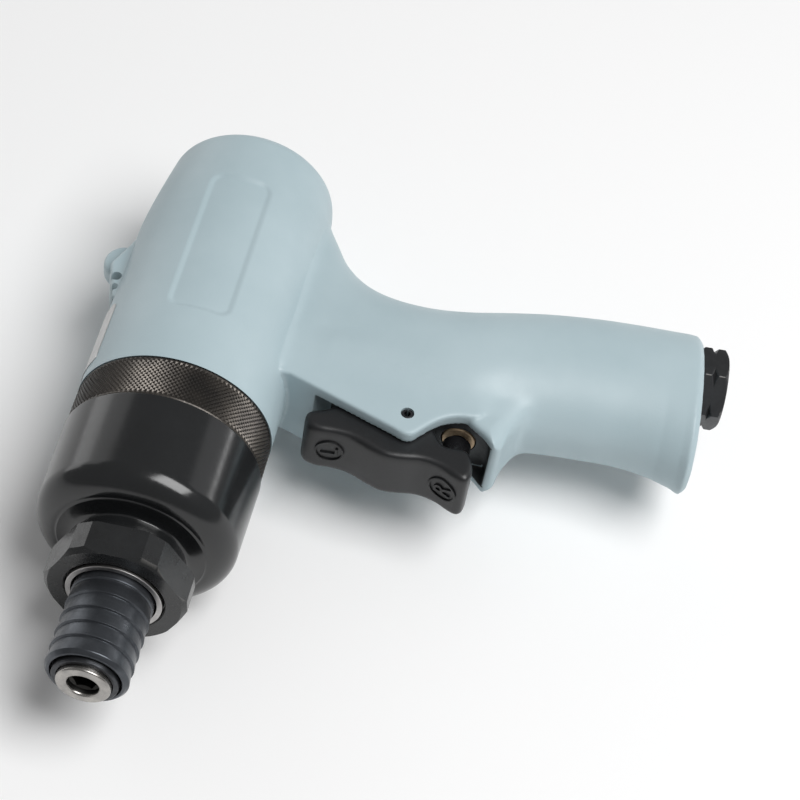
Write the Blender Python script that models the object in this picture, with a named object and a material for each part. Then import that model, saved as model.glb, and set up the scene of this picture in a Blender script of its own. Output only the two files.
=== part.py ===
"""Pistol-grip air screwdriver: impact driver with a quick-change hex nose and a two-way rocker trigger.

World frame: +X runs along the spindle towards the nose, +Y from the barrel to the handle's end, and +Z is up
as the tool lies on its right side. The bench plane is z = 0. Every piece hangs on the empty "tool_axis",
whose origin is the centre of the nose face on the spindle axis, so below a negative x lies behind the nose.
"""

import math

import bmesh
import bpy
from mathutils import Matrix, Vector

MM = 0.001

# Clearances
GAP = 0.3 * MM  # between two pieces that touch
RUNNING_GAP = 0.4 * MM  # between a turning or sliding piece and its seat
CUT_OVERRUN = 1.0 * MM  # how far a cutter passes the face that it opens

# Facets around turned pieces: large shells, middle-sized pieces, small ones, pins and drilled holes
LARGE_STEPS = 44
MIDDLE_STEPS = 28
SMALL_STEPS = 18
TINY_STEPS = 14

# Spindle and bit socket
HEX_ACROSS_FLATS = 6.45 * MM
HEX_DEPTH = 22.0 * MM
HEX_LEAD_IN = 0.9 * MM
NOSE_RADIUS = 6.8 * MM
NOSE_CHAMFER = 0.5 * MM
NOSE_LENGTH = 3.4 * MM
SPINDLE_RADIUS = 6.3 * MM
JOURNAL_RADIUS = 8.0 * MM
RING_THICKNESS = 0.8 * MM
RING_GROOVE_DEPTH = 0.7 * MM
RING_RADIUS = 8.5 * MM
RING_MOUTH = 50.0  # degrees left open in the retaining ring
BALL_RADIUS = 1.75 * MM
BALL_X = -7.5 * MM

# Release sleeve
SLEEVE_FRONT = -2.5 * MM
SLEEVE_RADIUS = 10.5 * MM
SLEEVE_RIB_DEPTH = 0.5 * MM
SLEEVE_RIBS = 5
SLEEVE_RIB_PITCH = 4.2 * MM
SLEEVE_RIB_SLOPE = 0.85  # share of the pitch that slopes down before the next step
SLEEVE_TAIL = 4.6 * MM
SLEEVE_CHAMFER = 1.0 * MM
SLEEVE_WALL = 1.4 * MM
SLEEVE_LAND_LENGTH = 5.5 * MM
SLEEVE_TRAVEL = 4.5 * MM  # how far the user pulls it back to free the bit
SPRING_WIRE = 0.45 * MM  # radius of the wire
SPRING_TURNS = 5

# Nose nut, bush and hammer case
NUT_FACE = -26.6 * MM
NUT_LENGTH = 9.0 * MM
NUT_WIDE_APOTHEM = 16.6 * MM
NUT_NARROW_APOTHEM = 17.9 * MM
NUT_CHAMFER = 1.0 * MM
NUT_BORE = 13.4 * MM
BUSH_RADIUS = 11.9 * MM
BUSH_MOUTH_RADIUS = SLEEVE_RADIUS + RUNNING_GAP
BUSH_SPRING_ROOM = 2.0 * MM  # left for the closed spring when the sleeve is fully back
BUSH_LENGTH = 19.5 * MM
BUSH_STANDOUT = 0.5 * MM
CASE_RADIUS = 26.0 * MM
CASE_DRAFT = 0.3 * MM
CASE_WALL = 3.7 * MM
CASE_NECK_RADIUS = 14.4 * MM
CASE_NECK_LENGTH = 4.0 * MM
CASE_SHOULDER_RADIUS = 19.0 * MM
CASE_SHOULDER_LENGTH = 8.0 * MM
CASE_ROOT = 1.3 * MM
CASE_BARREL_LENGTH = 21.5 * MM
SPIGOT_LENGTH = 5.6 * MM
SPIGOT_RECESS = 1.6 * MM
COUPLING_LENGTH = 12.8 * MM
COUPLING_CHAMFER = 0.4 * MM
COUPLING_WALL = 1.5 * MM

# Impact clutch
CAGE_CLEARANCE = 1.7 * MM
CAGE_END_FLOAT = 1.8 * MM
CAGE_PLATE = 3.0 * MM
CAGE_REAR_PLATE = 3.6 * MM
CAGE_HUB_RADIUS = 8.2 * MM
CAGE_HUB_LENGTH = 5.4 * MM
CAGE_POST_RADIUS = 2.2 * MM
HAMMER_LENGTH = 7.4 * MM
HAMMER_OUTER = 13.4 * MM
HAMMER_INNER = 11.0 * MM
HAMMER_PIN_RADIUS = 2.0 * MM
HAMMER_PIN_CIRCLE = 16.2 * MM
HAMMER_EAR = 3.8 * MM
HAMMER_TOOTH = 1.6 * MM
HAMMER_TOOTH_TURN = 125.0
HAMMER_TOOTH_ANGLE = 24.0
HAMMER_POINTS = 25
HAMMER_EAR_POINTS = 7
ANVIL_JAW_RADIUS = 9.9 * MM
ANVIL_JAW_ANGLE = 70.0
JAW_STEPS = 7
PILOT_RADIUS = 4.6 * MM

# Motor
BARREL_RADIUS = 25.7 * MM
BARREL_LENGTH = 55.8 * MM
MOTOR_BORE = 21.9 * MM
END_PLATE = 8.0 * MM
ROTOR_LENGTH = 37.6 * MM
ROTOR_RADIUS = 15.0 * MM
ROTOR_SHAFT = 4.5 * MM
ROTOR_LAND_POINTS = 5
LINER_BORE = 16.6 * MM
LINER_OFFSET = 1.2 * MM
BEARING_RADIUS = 11.0 * MM
BEARING_WIDTH = 6.0 * MM
VANES = 6
VANE_THICKNESS = 1.8 * MM
VANE_DEPTH = 6.2 * MM
VANE_SHYNESS = 0.3 * MM
LINER_PORTS = 3
LINER_PORT_PITCH = 7.0 * MM
LINER_PORT_RADIUS = 1.8 * MM
BORE_RELIEF = 5.0 * MM

# Rear of the housing: a slight taper, then a crown
TAPER_LENGTH = 25.0 * MM
TAPER_DROP = 2.7 * MM
TAPER_POWER = 1.4
TAPER_POINTS = 4
CROWN_LENGTH = 7.5 * MM
CROWN_POINTS = 6

# Side recesses
PANEL_LENGTH = 49.0 * MM
PANEL_WIDTH = 17.2 * MM
PANEL_CORNER = 3.6 * MM
PANEL_DEPTH = 0.7 * MM
PANEL_BACK = 17.0 * MM  # from the housing's front edge

# Exhaust hood and hanger lug
HOOD_BACK = 26.0 * MM
HOOD_LENGTH = 28.0 * MM
HOOD_HEIGHT = 28.9 * MM
HOOD_HALF_WIDTH = 7.6 * MM
HOOD_RISE = 14.6 * MM
HOOD_CREST = 1.4 * MM
HOOD_WALL = 1.8 * MM
HOOD_SINK = 3.0 * MM
EXHAUST_PORTS = 3
EXHAUST_PORT_BACK = 3.4 * MM
EXHAUST_PORT_RADIUS = 0.7 * MM
EXHAUST_PORT_GROWTH = 0.35 * MM
EXHAUST_PORT_PITCH = 3.6 * MM
FELT_LENGTH = 10.0 * MM
LUG_REACH = 32.0 * MM
LUG_RADIUS = 5.9 * MM
LUG_HALF_WIDTH = 2.6 * MM
LUG_HOLE = 2.4 * MM
LUG_BACK = 46.2 * MM  # from the housing's front edge

# Handle, measured back from the housing's front edge and down from the spindle axis
HANDLE_REACH = 130.0 * MM
BASE_MIDDLE_BACK = 42.6 * MM  # halfway between the front and the back of the last section
HANDLE_SQUARENESS = 2.15
HANDLE_POINTS = 28
HANDLE_LEAN = 5.0  # degrees that the base and the inlet lean back
HANDLE_LEAN_FROM = 76.0 * MM
NECK_HALF_WIDTH = 12.0 * MM
NECK_FRONT_BACK = 15.0 * MM
NECK_DEPTH = 14.0 * MM
NECK_TOP = 16.0 * MM
NECK_BREAK = 25.6 * MM
NECK_EDGE = 1.5 * MM
GUARD_HALF_WIDTH = 9.0 * MM

# Trigger and its slot
TRIGGER_PIN_BACK = 11.2 * MM
TRIGGER_PIN_DROP = 57.5 * MM
TRIGGER_HALF_WIDTH = 8.0 * MM
TRIGGER_SWING = 5.0  # degrees each way
TRIGGER_EDGE = 1.2 * MM
LEFT_PAD = -1.3 * MM  # where the rocker meets each stem, forward of the pin
RIGHT_PAD = 3.6 * MM
PIN_RADIUS = 1.5 * MM
PIN_BORE = 0.8 * MM
SLOT_FLOOR_BACK = 16.1 * MM
SLOT_TOP = 30.6 * MM
SLOT_BOTTOM = 80.0 * MM

# Valves
VALVE_SPACING = 14.0 * MM  # each valve's distance from the trigger pin
VALVE_BORE = 4.7 * MM
VALVE_BORE_DEPTH = 21.0 * MM
VALVE_BUSHING_LENGTH = 8.0 * MM
VALVE_BUTTON_RADIUS = 2.9 * MM
VALVE_ROD_RADIUS = 1.7 * MM
VALVE_PLUNGER_RADIUS = 3.7 * MM
VALVE_PLUNGER_LENGTH = 3.0 * MM
VALVE_SPRING_TURNS = 4
VALVE_SEAT_HOLE = 2.2 * MM
BUTTON_DOME = 1.0 * MM
DOME_ANGLES = (20.0, 90.0)
SEAL_DEPTH = 1.2 * MM
SEAL_WIDTH = 0.8 * MM
PORT_RADIUS = 2.0 * MM

# Air passage and inlet
PASSAGE_RADIUS = 5.0 * MM
PASSAGE_TOP_BACK = 42.0 * MM
PASSAGE_TOP_DROP = 38.0 * MM
INLET_BACK = 52.8 * MM
INLET_ACROSS_FLATS = 19.2 * MM
INLET_TURN = 50.0  # degrees of its first corner
INLET_STANDOUT = 7.5 * MM
INLET_SPIGOT_RADIUS = 8.2 * MM
INLET_SPIGOT_LENGTH = 12.0 * MM
INLET_BORE = 5.9 * MM
INLET_CHAMFER = 0.9 * MM
SCREEN_THICKNESS = 1.0 * MM
SCREEN_HOLES = 6
SCREEN_CIRCLE = 3.2 * MM
SCREEN_HOLE_RADIUS = 0.9 * MM

# Name plate
PLATE_THICKNESS = 0.25 * MM
PLATE_HALF_ANGLE = 30.0
PLATE_LENGTH = 20.0 * MM
PLATE_BACK = 3.6 * MM
PLATE_POINTS = 11

# Places that follow from the sizes above
HEX_CORNER = HEX_ACROSS_FLATS / math.sqrt(3)
NUT_BACK = NUT_FACE - NUT_LENGTH
NECK_BACK = NUT_BACK - GAP - CASE_NECK_LENGTH
CASE_FULL = NECK_BACK - CASE_SHOULDER_LENGTH
CASE_BACK = CASE_FULL - CASE_BARREL_LENGTH
HOUSING_FRONT = CASE_BACK - COUPLING_LENGTH
BUSH_FRONT = NUT_FACE + BUSH_STANDOUT
SLEEVE_BACK = SLEEVE_FRONT - SLEEVE_RIBS * SLEEVE_RIB_PITCH - SLEEVE_TAIL
BUSH_MOUTH_BACK = SLEEVE_BACK - SLEEVE_TRAVEL - BUSH_SPRING_ROOM
BUSH_BACK = BUSH_FRONT - BUSH_LENGTH
SPIGOT_RADIUS = BARREL_RADIUS - COUPLING_WALL - GAP
CASE_CAVITY = CASE_RADIUS - CASE_WALL
CAGE_RADIUS = CASE_CAVITY - CAGE_CLEARANCE
POST_CIRCLE = CAGE_RADIUS - CAGE_POST_RADIUS - GAP
CAGE_FRONT = BUSH_BACK - CAGE_END_FLOAT
HAMMER_FRONT = CAGE_FRONT - CAGE_PLATE - RUNNING_GAP
HAMMER_MIDDLE = HAMMER_FRONT - HAMMER_LENGTH - RUNNING_GAP
CAGE_REAR = HAMMER_MIDDLE - HAMMER_LENGTH - RUNNING_GAP
CAGE_BACK = CAGE_REAR - CAGE_REAR_PLATE
HUB_BACK = CAGE_BACK - CAGE_HUB_LENGTH
MOTOR_FRONT = min(HUB_BACK - RUNNING_GAP, HOUSING_FRONT + SPIGOT_LENGTH) - RUNNING_GAP
LINER_FRONT = MOTOR_FRONT - END_PLATE - GAP
LINER_LENGTH = ROTOR_LENGTH + 2 * RUNNING_GAP
LINER_BACK = LINER_FRONT - LINER_LENGTH
REAR_PLATE_FRONT = LINER_BACK - GAP
REAR_PLATE_BACK = REAR_PLATE_FRONT - END_PLATE
BORE_BACK = REAR_PLATE_BACK - GAP
ROTOR_FRONT = LINER_FRONT - RUNNING_GAP
ROTOR_BACK = ROTOR_FRONT - ROTOR_LENGTH
TAPER_FRONT = HOUSING_FRONT - BARREL_LENGTH
CROWN_FRONT = TAPER_FRONT - TAPER_LENGTH
TOTAL_LENGTH = CROWN_LENGTH - CROWN_FRONT
RING_FRONT = -NOSE_LENGTH
LAND_FRONT = RING_FRONT - RING_THICKNESS - 2 * GAP
LAND_BACK = LAND_FRONT - SLEEVE_LAND_LENGTH
SPRING_BACK = BUSH_MOUTH_BACK + GAP
LUG_CENTRE = (HOUSING_FRONT - LUG_BACK, LUG_RADIUS - LUG_REACH)
LINER_RADIUS = MOTOR_BORE - GAP
TRIGGER_PIN_X = HOUSING_FRONT - TRIGGER_PIN_BACK
SLOT_FLOOR = HOUSING_FRONT - SLOT_FLOOR_BACK
INLET_X = HOUSING_FRONT - INLET_BACK
BASE_X = HOUSING_FRONT - BASE_MIDDLE_BACK
LEAN_SLOPE = math.tan(math.radians(HANDLE_LEAN))
INLET_BASE = HANDLE_REACH + (INLET_X - BASE_X) * LEAN_SLOPE
INLET_OUT = Vector((-math.sin(math.radians(HANDLE_LEAN)), math.cos(math.radians(HANDLE_LEAN)), 0.0))
INLET_REACH = INLET_BASE + INLET_STANDOUT + INLET_ACROSS_FLATS / 2 * LEAN_SLOPE


# ---- scene, materials and mesh helpers ------------------------------------------------------------------


def clear_scene():
    for obj in list(bpy.data.objects):
        bpy.data.objects.remove(obj, do_unlink=True)


def material(name, colour, metallic, roughness):
    mat = bpy.data.materials.new(name)
    mat.use_nodes = True
    shader = mat.node_tree.nodes["Principled BSDF"]
    shader.inputs["Base Color"].default_value = (*colour, 1.0)
    shader.inputs["Metallic"].default_value = metallic
    shader.inputs["Roughness"].default_value = roughness
    return mat


def root_empty():
    """The spindle axis at the nose face, placed so that the bench plane is z = 0 under the tool's middle."""
    empty = bpy.data.objects.new("tool_axis", None)
    empty.location = (TOTAL_LENGTH / 2, (LUG_REACH - INLET_REACH) / 2, CASE_RADIUS)
    bpy.context.scene.collection.objects.link(empty)
    return empty


def add_piece(name, bm, mat, at=(0.0, 0.0, 0.0), sharp=35.0):
    """Turns a bmesh into an object on the tool axis, with its normals out and its round faces smooth."""
    bmesh.ops.remove_doubles(bm, verts=bm.verts, dist=1e-7)
    bmesh.ops.recalc_face_normals(bm, faces=bm.faces)
    mesh = bpy.data.meshes.new(name)
    bm.to_mesh(mesh)
    bm.free()
    if mat:
        mesh.materials.append(mat)
    mesh.shade_smooth()
    mesh.set_sharp_from_angle(angle=math.radians(sharp))
    obj = bpy.data.objects.new(name, mesh)
    obj.location = at
    obj.parent = TOOL_AXIS
    bpy.context.scene.collection.objects.link(obj)
    return obj


def boolean(target, operation, tool):
    """Adds a Boolean modifier and turns its tool into a hidden helper."""
    modifier = target.modifiers.new(f"{operation.lower()}_{tool.name}", "BOOLEAN")
    modifier.operation = operation
    modifier.solver = "EXACT"
    modifier.object = tool
    tool.hide_render = True
    tool.display_type = "WIRE"


def cut(target, tool):
    boolean(target, "DIFFERENCE", tool)


def join(target, tool):
    boolean(target, "UNION", tool)


def turned_mesh(profile, steps, offset=(0.0, 0.0), sweep=360.0):
    """A closed (x, radius) outline turned about the X axis, or about a line beside it."""
    bm = bmesh.new()
    points = [bm.verts.new((x, radius, 0.0)) for x, radius in profile]
    edges = [bm.edges.new(pair) for pair in zip(points, points[1:] + points[:1])]
    whole = sweep >= 360.0
    if not whole:
        bm.faces.new(points)
        geometry = bm.verts[:] + bm.edges[:] + bm.faces[:]
    else:
        geometry = points + edges
    bmesh.ops.spin(
        bm,
        geom=geometry,
        cent=(0, 0, 0),
        axis=(1, 0, 0),
        angle=math.radians(sweep),
        steps=steps,
        use_merge=whole,
    )
    bmesh.ops.remove_doubles(bm, verts=bm.verts, dist=1e-7)
    on_axis = [edge for edge in bm.edges if not edge.link_faces]
    bmesh.ops.delete(bm, geom=on_axis, context="EDGES")
    bmesh.ops.translate(bm, vec=(0.0, *offset), verts=bm.verts)
    return bm


def turned(name, profile, mat, at=(0.0, 0.0, 0.0), steps=MIDDLE_STEPS, offset=(0.0, 0.0), sweep=360.0):
    return add_piece(name, turned_mesh(profile, steps, offset, sweep), mat, at)


def bar(x0, x1, radius):
    """The outline of a plain bar on the axis."""
    return [(x0, 0.0), (x0, radius), (x1, radius), (x1, 0.0)]


def tube(x0, x1, outer, inner):
    """The outline of a plain tube."""
    return [(x0, inner), (x0, outer), (x1, outer), (x1, inner)]


def extruded_mesh(outline, low, high):
    """An (x, y) outline carried from z = low to z = high."""
    bm = bmesh.new()
    face = bm.faces.new([bm.verts.new((x, y, low)) for x, y in outline])
    top = bmesh.ops.extrude_face_region(bm, geom=[face])["geom"]
    moved = [v for v in top if isinstance(v, bmesh.types.BMVert)]
    bmesh.ops.translate(bm, vec=(0.0, 0.0, high - low), verts=moved)
    return bm


def bevel_rims(bm, width, segments=2):
    """Rounds the edges of both flat ends of an extrusion."""
    rims = [e for e in bm.edges if abs(e.verts[0].co.z - e.verts[1].co.z) < 1e-6]
    shape = {"segments": segments, "profile": 0.5, "affect": "EDGES", "clamp_overlap": True}
    bmesh.ops.bevel(bm, geom=rims, offset=width, **shape)


def ellipse(centre, along, radial, start, end, points):
    """Points along part of an ellipse in the (x, radius) plane, with its angles in degrees."""
    angles = [math.radians(start + (end - start) * i / (points - 1)) for i in range(points)]
    return [(centre[0] + along * math.cos(a), centre[1] + radial * math.sin(a)) for a in angles]


def polygon(radius, corners, turn=0.0, centre=(0.0, 0.0)):
    """The corners of a regular polygon."""
    steps = [turn + 2 * math.pi * i / corners for i in range(corners)]
    return [(centre[0] + radius * math.cos(a), centre[1] + radius * math.sin(a)) for a in steps]


def arc(centre, radius, start, end, points):
    """Points along an arc, with its angles in degrees."""
    angles = [math.radians(start + (end - start) * i / (points - 1)) for i in range(points)]
    return [(centre[0] + radius * math.cos(a), centre[1] + radius * math.sin(a)) for a in angles]


def rounded(outline, radius, points=4):
    """An outline with each corner replaced by a short curve that starts and ends a radius from it."""
    result = []
    count = len(outline)
    for i, corner in enumerate(outline):
        here = Vector(corner)
        before = Vector(outline[i - 1]) - here
        after = Vector(outline[(i + 1) % count]) - here
        start = here + before.normalized() * min(radius, before.length * 0.45)
        end = here + after.normalized() * min(radius, after.length * 0.45)
        for k in range(points):
            t = k / (points - 1)
            result.append(tuple((1 - t) ** 2 * start + 2 * t * (1 - t) * here + t**2 * end))
    return result


def prism_on_x(name, outline, x0, x1, mat):
    """A (y, z) outline carried along X."""
    bm = extruded_mesh(outline, 0.0, x1 - x0)
    bm.transform(Matrix(((0, 0, 1, x0), (1, 0, 0, 0), (0, 1, 0, 0), (0, 0, 0, 1))))
    return add_piece(name, bm, mat)


def rod_between(name, start, end, radius, mat=None, steps=SMALL_STEPS):
    """A straight round rod between two points."""
    run = Vector(end) - Vector(start)
    bm = bmesh.new()
    size = {"radius1": radius, "radius2": radius, "depth": run.length}
    bmesh.ops.create_cone(bm, cap_ends=True, segments=steps, **size)
    turn = run.to_track_quat("Z", "Y").to_matrix().to_4x4()
    bm.transform(Matrix.Translation((Vector(start) + Vector(end)) / 2) @ turn)
    return add_piece(name, bm, mat)


def across(centre, half):
    """The two ends of a line across the tool through an (x, y) point."""
    return (*centre, -half), (*centre, half)


def coil(name, x0, x1, mean_radius, wire, turns, mat, at=(0.0, 0.0, 0.0), per_turn=12):
    """A helical wire spring along X."""
    curve = bpy.data.curves.new(name, "CURVE")
    curve.dimensions = "3D"
    curve.bevel_depth = wire
    curve.bevel_resolution = 0
    curve.use_fill_caps = True
    spline = curve.splines.new("POLY")
    count = turns * per_turn + 1
    spline.points.add(count - 1)
    for i, point in enumerate(spline.points):
        angle = 2 * math.pi * i / per_turn
        x = x0 + (x1 - x0) * i / (count - 1)
        point.co = (x, mean_radius * math.cos(angle), mean_radius * math.sin(angle), 1.0)
    curve.materials.append(mat)
    obj = bpy.data.objects.new(name, curve)
    obj.location = at
    obj.parent = TOOL_AXIS
    bpy.context.scene.collection.objects.link(obj)
    return obj


# ---- nose: spindle, bit lock and release sleeve ---------------------------------------------------------


def anvil_spindle():
    """The spindle: hex socket and ring groove in front, journal in the bush, two jaws and a rear pilot."""
    groove = SPINDLE_RADIUS - RING_GROOVE_DEPTH
    groove_back = RING_FRONT - RING_THICKNESS - GAP
    shoulder = SPRING_BACK - GAP
    jaw_front = HAMMER_FRONT
    jaw_back = CAGE_REAR + 2 * RUNNING_GAP
    profile = [
        (0.0, 0.0),
        (0.0, NOSE_RADIUS - NOSE_CHAMFER),
        (-NOSE_CHAMFER, NOSE_RADIUS),
        (RING_FRONT + GAP, NOSE_RADIUS),
        (RING_FRONT + GAP, groove),
        (groove_back, groove),
        (groove_back, SPINDLE_RADIUS),
        (shoulder, SPINDLE_RADIUS),
        (shoulder, JOURNAL_RADIUS),
        (jaw_back, JOURNAL_RADIUS),
        (jaw_back, PILOT_RADIUS),
        (CAGE_BACK + GAP, PILOT_RADIUS),
        (CAGE_BACK + GAP, 0.0),
    ]
    spindle = turned("anvil_spindle", profile, STEEL_BRIGHT)
    jaw = tube(jaw_front, jaw_back + GAP, ANVIL_JAW_RADIUS, JOURNAL_RADIUS / 2)
    for side in (0, 1):
        mesh = turned_mesh(jaw, JAW_STEPS, sweep=ANVIL_JAW_ANGLE)
        mesh.transform(Matrix.Rotation(side * math.pi, 4, "X"))
        join(spindle, add_piece(f"jaw_tool_{side}", mesh, None))
    socket = prism_on_x("socket_tool", polygon(HEX_CORNER, 6), -HEX_DEPTH, CUT_OVERRUN, None)
    mouth = HEX_CORNER + GAP
    lead_in = [
        (CUT_OVERRUN, 0.0),
        (CUT_OVERRUN, mouth + CUT_OVERRUN),
        (-HEX_LEAD_IN, mouth - HEX_LEAD_IN),
        (-HEX_LEAD_IN, 0.0),
    ]
    lead = turned("lead_in_tool", lead_in, None)
    ball_top = (BALL_X, 0.0, SPINDLE_RADIUS + CUT_OVERRUN)
    ball_low = (BALL_X, 0.0, BALL_RADIUS)
    ball_hole = rod_between("ball_hole_tool", ball_low, ball_top, BALL_RADIUS + GAP, steps=TINY_STEPS)
    for tool in (socket, lead, ball_hole):
        cut(spindle, tool)
    return spindle


def bit_lock_ball():
    bm = bmesh.new()
    bmesh.ops.create_uvsphere(bm, u_segments=14, v_segments=8, radius=BALL_RADIUS)
    land_bore = SPINDLE_RADIUS + RUNNING_GAP
    return add_piece("bit_lock_ball", bm, STEEL_BRIGHT, at=(BALL_X, 0.0, land_bore - GAP - BALL_RADIUS))


def release_sleeve():
    """The grip sleeve: saw-tooth ribs outside, and inside a land that holds the lock ball in."""
    outer = [(SLEEVE_FRONT, SLEEVE_RADIUS - SLEEVE_CHAMFER)]
    for rib in range(SLEEVE_RIBS):
        front = SLEEVE_FRONT - SLEEVE_CHAMFER - rib * SLEEVE_RIB_PITCH
        outer.append((front, SLEEVE_RADIUS))
        outer.append((front - SLEEVE_RIB_SLOPE * SLEEVE_RIB_PITCH, SLEEVE_RADIUS - SLEEVE_RIB_DEPTH))
    outer.append((SLEEVE_BACK, SLEEVE_RADIUS - SLEEVE_RIB_DEPTH / 2))
    wall_bore = SLEEVE_RADIUS - SLEEVE_RIB_DEPTH - SLEEVE_WALL
    land_bore = SPINDLE_RADIUS + RUNNING_GAP
    inner = [
        (SLEEVE_BACK, wall_bore),
        (LAND_BACK, wall_bore),
        (LAND_BACK, land_bore),
        (LAND_FRONT, land_bore),
        (LAND_FRONT, RING_RADIUS + RUNNING_GAP),
        (SLEEVE_FRONT, RING_RADIUS + RUNNING_GAP),
    ]
    return turned("release_sleeve", outer + inner, STEEL_BLUED)


def retaining_ring():
    """The open snap ring in the spindle's groove, which stops the sleeve's land."""
    groove = SPINDLE_RADIUS - RING_GROOVE_DEPTH + GAP / 2
    outline = tube(RING_FRONT, RING_FRONT - RING_THICKNESS, RING_RADIUS, groove)
    return turned("retaining_ring", outline, STEEL_BLUED, steps=SMALL_STEPS, sweep=360.0 - RING_MOUTH)


def sleeve_spring():
    mean = SPINDLE_RADIUS + 2 * GAP + SPRING_WIRE
    start = LAND_BACK - GAP - SPRING_WIRE
    end = SPRING_BACK + SPRING_WIRE
    return coil("sleeve_spring", start, end, mean, SPRING_WIRE, SPRING_TURNS, STEEL_SPRING)


# ---- nose nut, bush and hammer case ---------------------------------------------------------------------


def nose_nut():
    """A nut with six wide and six narrow flats, turned back to a round rim at its face."""
    corners = []
    for i in range(6):
        for side in (-1, 1):
            half = math.radians(30.0)
            reach = (NUT_NARROW_APOTHEM - NUT_WIDE_APOTHEM * math.cos(half)) / math.sin(half)
            angle = math.radians(60.0 * i)
            y = NUT_WIDE_APOTHEM * math.cos(angle) - side * reach * math.sin(angle)
            z = NUT_WIDE_APOTHEM * math.sin(angle) + side * reach * math.cos(angle)
            corners.append((y, z))
    nut = prism_on_x("nose_nut", corners, NUT_BACK, NUT_FACE, ENAMEL_BLACK)
    corner = math.hypot(*corners[0])
    rim = NUT_WIDE_APOTHEM - GAP
    envelope = [
        (NUT_FACE + CUT_OVERRUN, rim - CUT_OVERRUN),
        (NUT_FACE + CUT_OVERRUN, corner + CUT_OVERRUN * 2),
        (NUT_FACE - (corner - rim) - CUT_OVERRUN * 2, corner + CUT_OVERRUN * 2),
    ]
    cut(nut, turned("nut_rim_tool", envelope, None))
    mouth = [
        (NUT_FACE + CUT_OVERRUN, 0.0),
        (NUT_FACE + CUT_OVERRUN, NUT_BORE + NUT_CHAMFER + CUT_OVERRUN),
        (NUT_FACE - NUT_CHAMFER, NUT_BORE),
        (NUT_BACK - CUT_OVERRUN, NUT_BORE),
        (NUT_BACK - CUT_OVERRUN, 0.0),
    ]
    cut(nut, turned("nut_bore_tool", mouth, None))
    return nut


def spindle_bush():
    """The steel bush that carries the spindle; the release sleeve slides into its mouth."""
    back = BUSH_BACK
    profile = [
        (BUSH_FRONT, BUSH_MOUTH_RADIUS),
        (BUSH_FRONT, BUSH_RADIUS),
        (back, BUSH_RADIUS),
        (back, JOURNAL_RADIUS + RUNNING_GAP / 4),
        (BUSH_MOUTH_BACK, JOURNAL_RADIUS + RUNNING_GAP / 4),
        (BUSH_MOUTH_BACK, BUSH_MOUTH_RADIUS),
    ]
    return turned("spindle_bush", profile, STEEL_BRIGHT)


def hammer_case():
    """The glossy case: spigot for the nut, neck, rounded shoulder, and spigot for the coupling ring."""
    nut_spigot = NUT_BORE - GAP
    spigot_front = NUT_FACE - SPIGOT_RECESS
    spigot_back = CASE_BACK - SPIGOT_LENGTH
    bush_seat = BUSH_RADIUS + GAP
    cavity_front = NECK_BACK - CASE_WALL
    root_height = CASE_SHOULDER_RADIUS - CASE_NECK_RADIUS
    front_length = CASE_SHOULDER_LENGTH - CASE_ROOT
    front_height = CASE_RADIUS - CASE_DRAFT - CASE_SHOULDER_RADIUS
    outer = [
        (spigot_front, nut_spigot),
        (NUT_BACK - GAP, nut_spigot),
        (NUT_BACK - GAP, CASE_NECK_RADIUS),
        *ellipse((NECK_BACK, CASE_SHOULDER_RADIUS), CASE_ROOT, root_height, 270, 180, 4),
        *ellipse((CASE_FULL, CASE_SHOULDER_RADIUS), front_length, front_height, 0, 90, 8),
        (CASE_BACK, CASE_RADIUS),
        (CASE_BACK, SPIGOT_RADIUS),
        (spigot_back, SPIGOT_RADIUS),
    ]
    inner = [
        (spigot_back, CASE_CAVITY),
        (CASE_FULL, CASE_CAVITY),
        (cavity_front, CASE_SHOULDER_RADIUS - CASE_WALL),
        (cavity_front, bush_seat),
        (spigot_front, bush_seat),
    ]
    return turned("hammer_case", outer + inner, ENAMEL_BLACK, steps=LARGE_STEPS)


def coupling_ring():
    """The knurled ring that screws over both spigots and holds the case to the housing."""
    front = CASE_BACK - GAP
    back = HOUSING_FRONT + GAP
    edge = COUPLING_CHAMFER
    profile = [
        (front, SPIGOT_RADIUS + GAP),
        (front, BARREL_RADIUS - edge),
        (front - edge, BARREL_RADIUS),
        (back + edge, BARREL_RADIUS),
        (back, BARREL_RADIUS - edge),
        (back, SPIGOT_RADIUS + GAP),
    ]
    return turned("coupling_ring", profile, STEEL_OXIDE, steps=LARGE_STEPS)


# ---- impact clutch --------------------------------------------------------------------------------------


def hammer_cage():
    """Two plates joined by posts, with a hub behind that the rotor shaft drives."""
    plate = tube(CAGE_FRONT, CAGE_FRONT - CAGE_PLATE, CAGE_RADIUS, JOURNAL_RADIUS + RUNNING_GAP)
    cage = turned("hammer_cage", plate, STEEL_DARK)
    rear_profile = [
        (CAGE_REAR, PILOT_RADIUS + RUNNING_GAP),
        (CAGE_REAR, CAGE_RADIUS),
        (CAGE_BACK, CAGE_RADIUS),
        (CAGE_BACK, CAGE_HUB_RADIUS),
        (HUB_BACK, CAGE_HUB_RADIUS),
        (HUB_BACK, PILOT_RADIUS + RUNNING_GAP),
    ]
    join(cage, turned("cage_rear_tool", rear_profile, None))
    middle = (CAGE_FRONT - CAGE_PLATE / 2, CAGE_REAR - CAGE_REAR_PLATE / 2)
    hole = HAMMER_PIN_RADIUS + GAP
    for side in (-1, 1):
        z = side * POST_CIRCLE
        post = ((middle[0], 0, z), (middle[1], 0, z))
        join(cage, rod_between(f"cage_post_tool_{side}", *post, CAGE_POST_RADIUS, steps=TINY_STEPS))
        y = side * HAMMER_PIN_CIRCLE
        ends = ((CAGE_FRONT + CUT_OVERRUN, y, 0), (CAGE_BACK - CUT_OVERRUN, y, 0))
        cut(cage, rod_between(f"cage_pin_hole_tool_{side}", *ends, hole, steps=TINY_STEPS))
    return cage


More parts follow.
